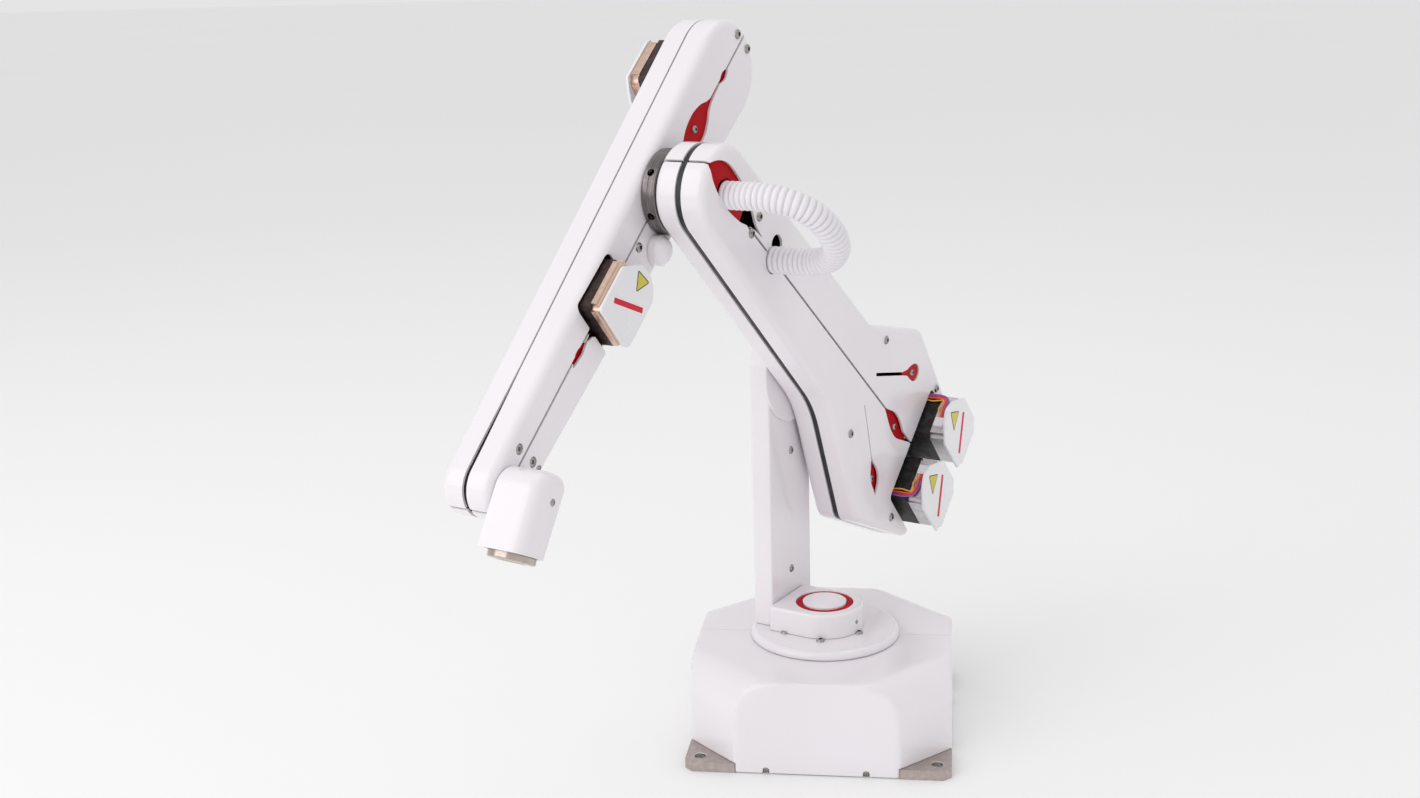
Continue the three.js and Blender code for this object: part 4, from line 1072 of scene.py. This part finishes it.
def motor_cover(name, rider, centre, turn, low, high, way, plate, stripe=None, mark=None):
    """The outer plate with its nose over the connector, a plain stripe and a blank triangle."""
    outline = lambda inset: rounded([(*spun(centre, turn, u, v), r) for u, v, r in PLATES[plate]], inset)
    body = across(outline, [(0.3, low), (0, low + way * 0.4), *round_edge(0.7, high, way, 4)])
    piece(soften(body, 0), f"{name}_plate", rider, COVER_WHITE, "motor_cover", [name])
    if not stripe:
        return
    skin, (a, b) = high + way * 0.12, [Vector(p) for p in stripe]
    run = math.atan2((b - a).y, (b - a).x)
    half = (b - a).length / 2
    bar = tilted(Vector(centre) + (a + b) / 2, run, -half, half, -1.9, 1.9, 0.5)
    piece(soften(prism(bar, high - way * 0.5, skin), 0.08, limit=60), f"{name}_stripe", rider, STRIPE, "red_plastic")
    for part, shrink, paint, top in (("rim", 0, CHARCOAL, 0.1), ("mark", 0.8, YELLOW, 0.16)):
        sign = rounded([(centre[0] + y, centre[1] + z, 1.0) for y, z in mark], shrink)
        body = prism(sign, high - way * 0.5, high + way * top)
        piece(soften(body, 0.05, limit=60), f"{name}_{part}", rider, paint, "motor_cover")


UPRIGHT = [(5.5, 15.5), (-3, -19)], [(-22, 22), (-14.5, 3), (-4, 18.8)]
LEVEL = [(-13, 5), (19, -8)], [(12.2, 5.5), (28.5, 9.1), (15.9, 20)]
PLATE_DEEP, BELL_NOTCH = 2.2, 3.1
# what a motor rides on, its turn, way, paints, depth of bell, notches, step out, plate and label
UPPER = ("upper_arm", UPPER_MOTOR_TURN, 1, STACK, BELL, 14.3, BELL_NOTCH, 0, "up", UPRIGHT)
FORE = ("forearm", FORE_TURN, 1, BROWN_STACK, COPPER_BELL, 6.3, BELL_NOTCH, 0, "along", LEVEL)
FORE_REAR = ("forearm", FORE_TURN, -1, BROWN_STACK, COPPER_BELL, 8.3, 4.6, 3.4, "rear", ())
for name, centre, kind in (("shoulder_motor", SHOULDER_MOTOR, UPPER), ("elbow_motor", ELBOW_MOTOR, UPPER),
                           ("pitch_motor", PITCH_MOTOR, FORE), ("roll_motor", ROLL_SEAT, FORE_REAR)):
    motor(name, centre, *kind)

# ---- motor leads: each runs out of the arm, along the motor and into its connector ----
LEAD = 0.65
for name, centre, flip in (("shoulder_motor", SHOULDER_MOTOR, -1), ("elbow_motor", ELBOW_MOTOR, 1)):
    at = lambda x, u, v: Vector((x, *spun(centre, UPPER_MOTOR_TURN, u, v)))
    top = MOTOR_HALF
    u0, u1 = sorted((-12 * flip, -3.6 * flip))
    rings = [[at(x, u, v) for x, u in rounded([(20, u0, 0.6), (28.6, u0, 0.6), (28.6, u1, 0.6), (20, u1, 0.6)])]
             for v in (top - 1, top + 2.6)]
    piece(soften(loft(rings), 0.3), f"{name}_connector", "upper_arm", COVER_WHITE, "white_shell")
    for k, (colour, paint) in enumerate(LEAD_COLOURS.items()):
        o, bow, lift = 1.35 * k, (-0.3, 0, 0.5, 2.3)[k], top + 0.9
        path = [(-4, 18.8 - o, 0), (4, 18.9 - o - bow * 0.5, 0), (11, 19.1 - o - bow, 0.2),
                (17.5, 19 - o - bow * 0.5, 0.4), (19 + (7 - o) * 0.7, 12 + (7 - o) * 0.7, 0.7),
                (26 - o - bow * 0.2, 11, 0.9), (26 - o - bow * 0.9, 7, 0.8), (26 - o - bow * 0.7, 3, 0.6),
                (26.2 - o, -0.6, 0.4), (26.2 - o, -4.2, 0.4)]
        points = [at(x, u * flip, lift + rise_by) for x, u, rise_by in path]
        line, length = even(smooth_line([TURN @ p * MM for p in points], 8), 0.0008)
        obj = sweep(line, [LEAD * MM] * len(line), 10)
        piece(obj, f"{name}_lead_{colour}", "upper_arm", paint, "hose_white")
        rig.cord(obj, exit=line[0], length=length, diameter=2 * LEAD * MM, far_end="connector", stiffness="limp",
                lay="taut", path=line, with_pieces=[f"{name}_connector"])

# ---- wrist housing and tool flange, built upright and leaned to the tool's axis ----
lean = -(TURN.inverted() @ TOOL_AXIS)
LEAN = Vector((0, 0, 1)).rotation_difference(Vector((0, lean.y, lean.z))).to_matrix()


def leaned(obj):
    """Moves a body built upright at the origin to the wrist, along the tool's axis."""
    back = TURN.inverted()
    for v in obj.data.vertices:
        v.co = (TURN @ (LEAN @ (back @ v.co / MM) + Vector((0, *WRIST)))) * MM
    return obj


# the housing's sides round the tool's axis
LEFT, RIGHT, FRONT, REAR, TOP, FOOT = -42.5, -10.5, -20, 12, 13.7, -38.3
HOUSING_EDGE, HOUSING_WALL = 9, 2.6


def housing_side(inset):
    """The housing from the side: a round front top, a tighter back one and a foot below its open end."""
    low, high = FOOT - 14, TOP + 1.5
    climb = high - FOOT
    return rounded([(FRONT - 1.1, low, 0.2), (REAR - 1.5, low, 0.2), (REAR + 0.11 * climb, high, 10),
                    (FRONT + 0.085 * climb, high, 17)], inset)


def housing_outline(inset):
    return rounded([(LEFT, FRONT, 2), (RIGHT, FRONT, HOUSING_EDGE), (RIGHT, REAR, HOUSING_EDGE), (LEFT, REAR, 2)],
                   inset)


def housing_body(inset):
    rounding = [(inset + i, x) for i, x in round_edge(HOUSING_EDGE - inset, RIGHT - inset, 1, 10)]
    return across(housing_side, [(inset + 0.5, LEFT + inset), (inset, LEFT + inset + 0.5), *rounding])


body = housing_body(0)
boolean(body, housing_body(HOUSING_WALL), block((-60, -40, FOOT - 30), (10, 40, FOOT), True),
        block((LEFT - 1, -7, -7), (LEFT + 4, 7, 7), True))
piece(soften(leaned(body)), "wrist_shell", "wrist", WHITE, "white_shell", ["wrist_housing"])
floor = rise(lambda inset: housing_outline(HOUSING_WALL + 0.3 + inset), [(0, FOOT + 1.5), (0, FOOT + 4)])
middle = ((LEFT + RIGHT) / 2, (FRONT + REAR) / 2)
boolean(floor, lathe_up([(0, -60), (12.6, -60), (12.6, 0), (0, 0)], middle))
piece(soften(leaned(floor)), "wrist_floor", "wrist", CHARCOAL, "frame_black")
z = FOOT
flange = [(0, z - 3.2), (9, z - 3.2), (9.3, z - 4.3), (9.6, z - 4.6), (14.4, z - 4.6), (15.2, z - 3.8), (15.2, z - 0.3),
          (12.2, z - 0.3), (12.2, z + 6), (0, z + 6)]
body = lathe_up(flange, middle)
boolean(body, *[lathe_up([(0, z - 8), (1.3, z - 8), (1.3, z - 1), (0, z - 1)],
                         c, 20) for c in disc(middle, 5.5, 4, math.pi / 4)])
piece(soften(leaned(body), 0), "tool_ring", "tool", TOOL_STEEL, "bright_metal", ["tool_flange"])
screws("wrist_screws", "wrist", leaned(screw((RIGHT - 0.6, 1.5, -3), (1, 0, 0), 2.6)))

# ---- column and pedestal screws ----
COLUMN_HEAD = 3.2
screws("turret_screws", "turret",
       *row(COLUMN_HIGH.x - 0.3, 1, ((11, 217), (9, 119)), COLUMN_HEAD),
       *row(COLUMN_LOW.x + 0.3, -1, ((11, 217), (9, 119), (9, 96)), COLUMN_HEAD),
       screw((PEDESTAL_RADIUS - 0.6, -4, 90), (1, -0.13, 0), 1.8),
       *[screw((x, y, DISC_HIGH + 0.1), (0, 0, 1), 3.4) for x, y in ((-19.7, -29.6), (12.5, -31.0), (31.6, -3.0))])

# ---- finishes of the CAD nodes that still show ----
slots = {s["node"]: s["material_slot"] for s in RECORD["subparts"]}
for name, obj in frame["nodes"].items():
    if obj.hide_render:
        continue
    paint = SLOT_MATERIALS[slots[name]]
    if not obj.material_slots:
        obj.data.materials.append(paint)
    for held in obj.material_slots:
        held.material = paint

# ---- floor and light ----
bpy.ops.mesh.primitive_plane_add(size=60)
floor = bpy.context.object
floor.name = "floor"
n = Nodes("studio_floor")
floor.data.materials.append(n.finish(n.tint(n.noise(0.6, 1), (0.945, 0.945, 0.945), (0.955, 0.955, 0.955)),
                                     n.between(n.noise(0.8, 1), 0.84, 0.86)))
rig.stage(floor)

world = bpy.data.worlds.new("studio")
bpy.context.scene.world = world
world.use_nodes = True
world.node_tree.nodes["Background"].inputs["Color"].default_value = (1, 1, 1, 1)
world.node_tree.nodes["Background"].inputs["Strength"].default_value = 0.78

AIM = Vector((0, 0, 0.28))


def softbox(name, at, size, power):
    light = bpy.data.objects.new(name, bpy.data.lights.new(name, "AREA"))
    bpy.context.scene.collection.objects.link(light)
    light.data.shape, light.data.size, light.data.energy = "SQUARE", size, power
    light.location = at
    light.rotation_euler = (AIM - Vector(at)).to_track_quat("-Z", "Y").to_euler()


softbox("key", (-1.5, -1.5, 1.5), 2.4, 19)
softbox("top", (0.2, 0.5, 2.4), 1.6, 4)
bpy.context.scene.view_settings.view_transform = "Standard"

bpy.context.view_layer.update()
with open("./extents.json", "w") as f:
    json.dump({"cad": [list(c) for c in CAD_BOX], "visual": [list(c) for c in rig.bounds()]}, f)
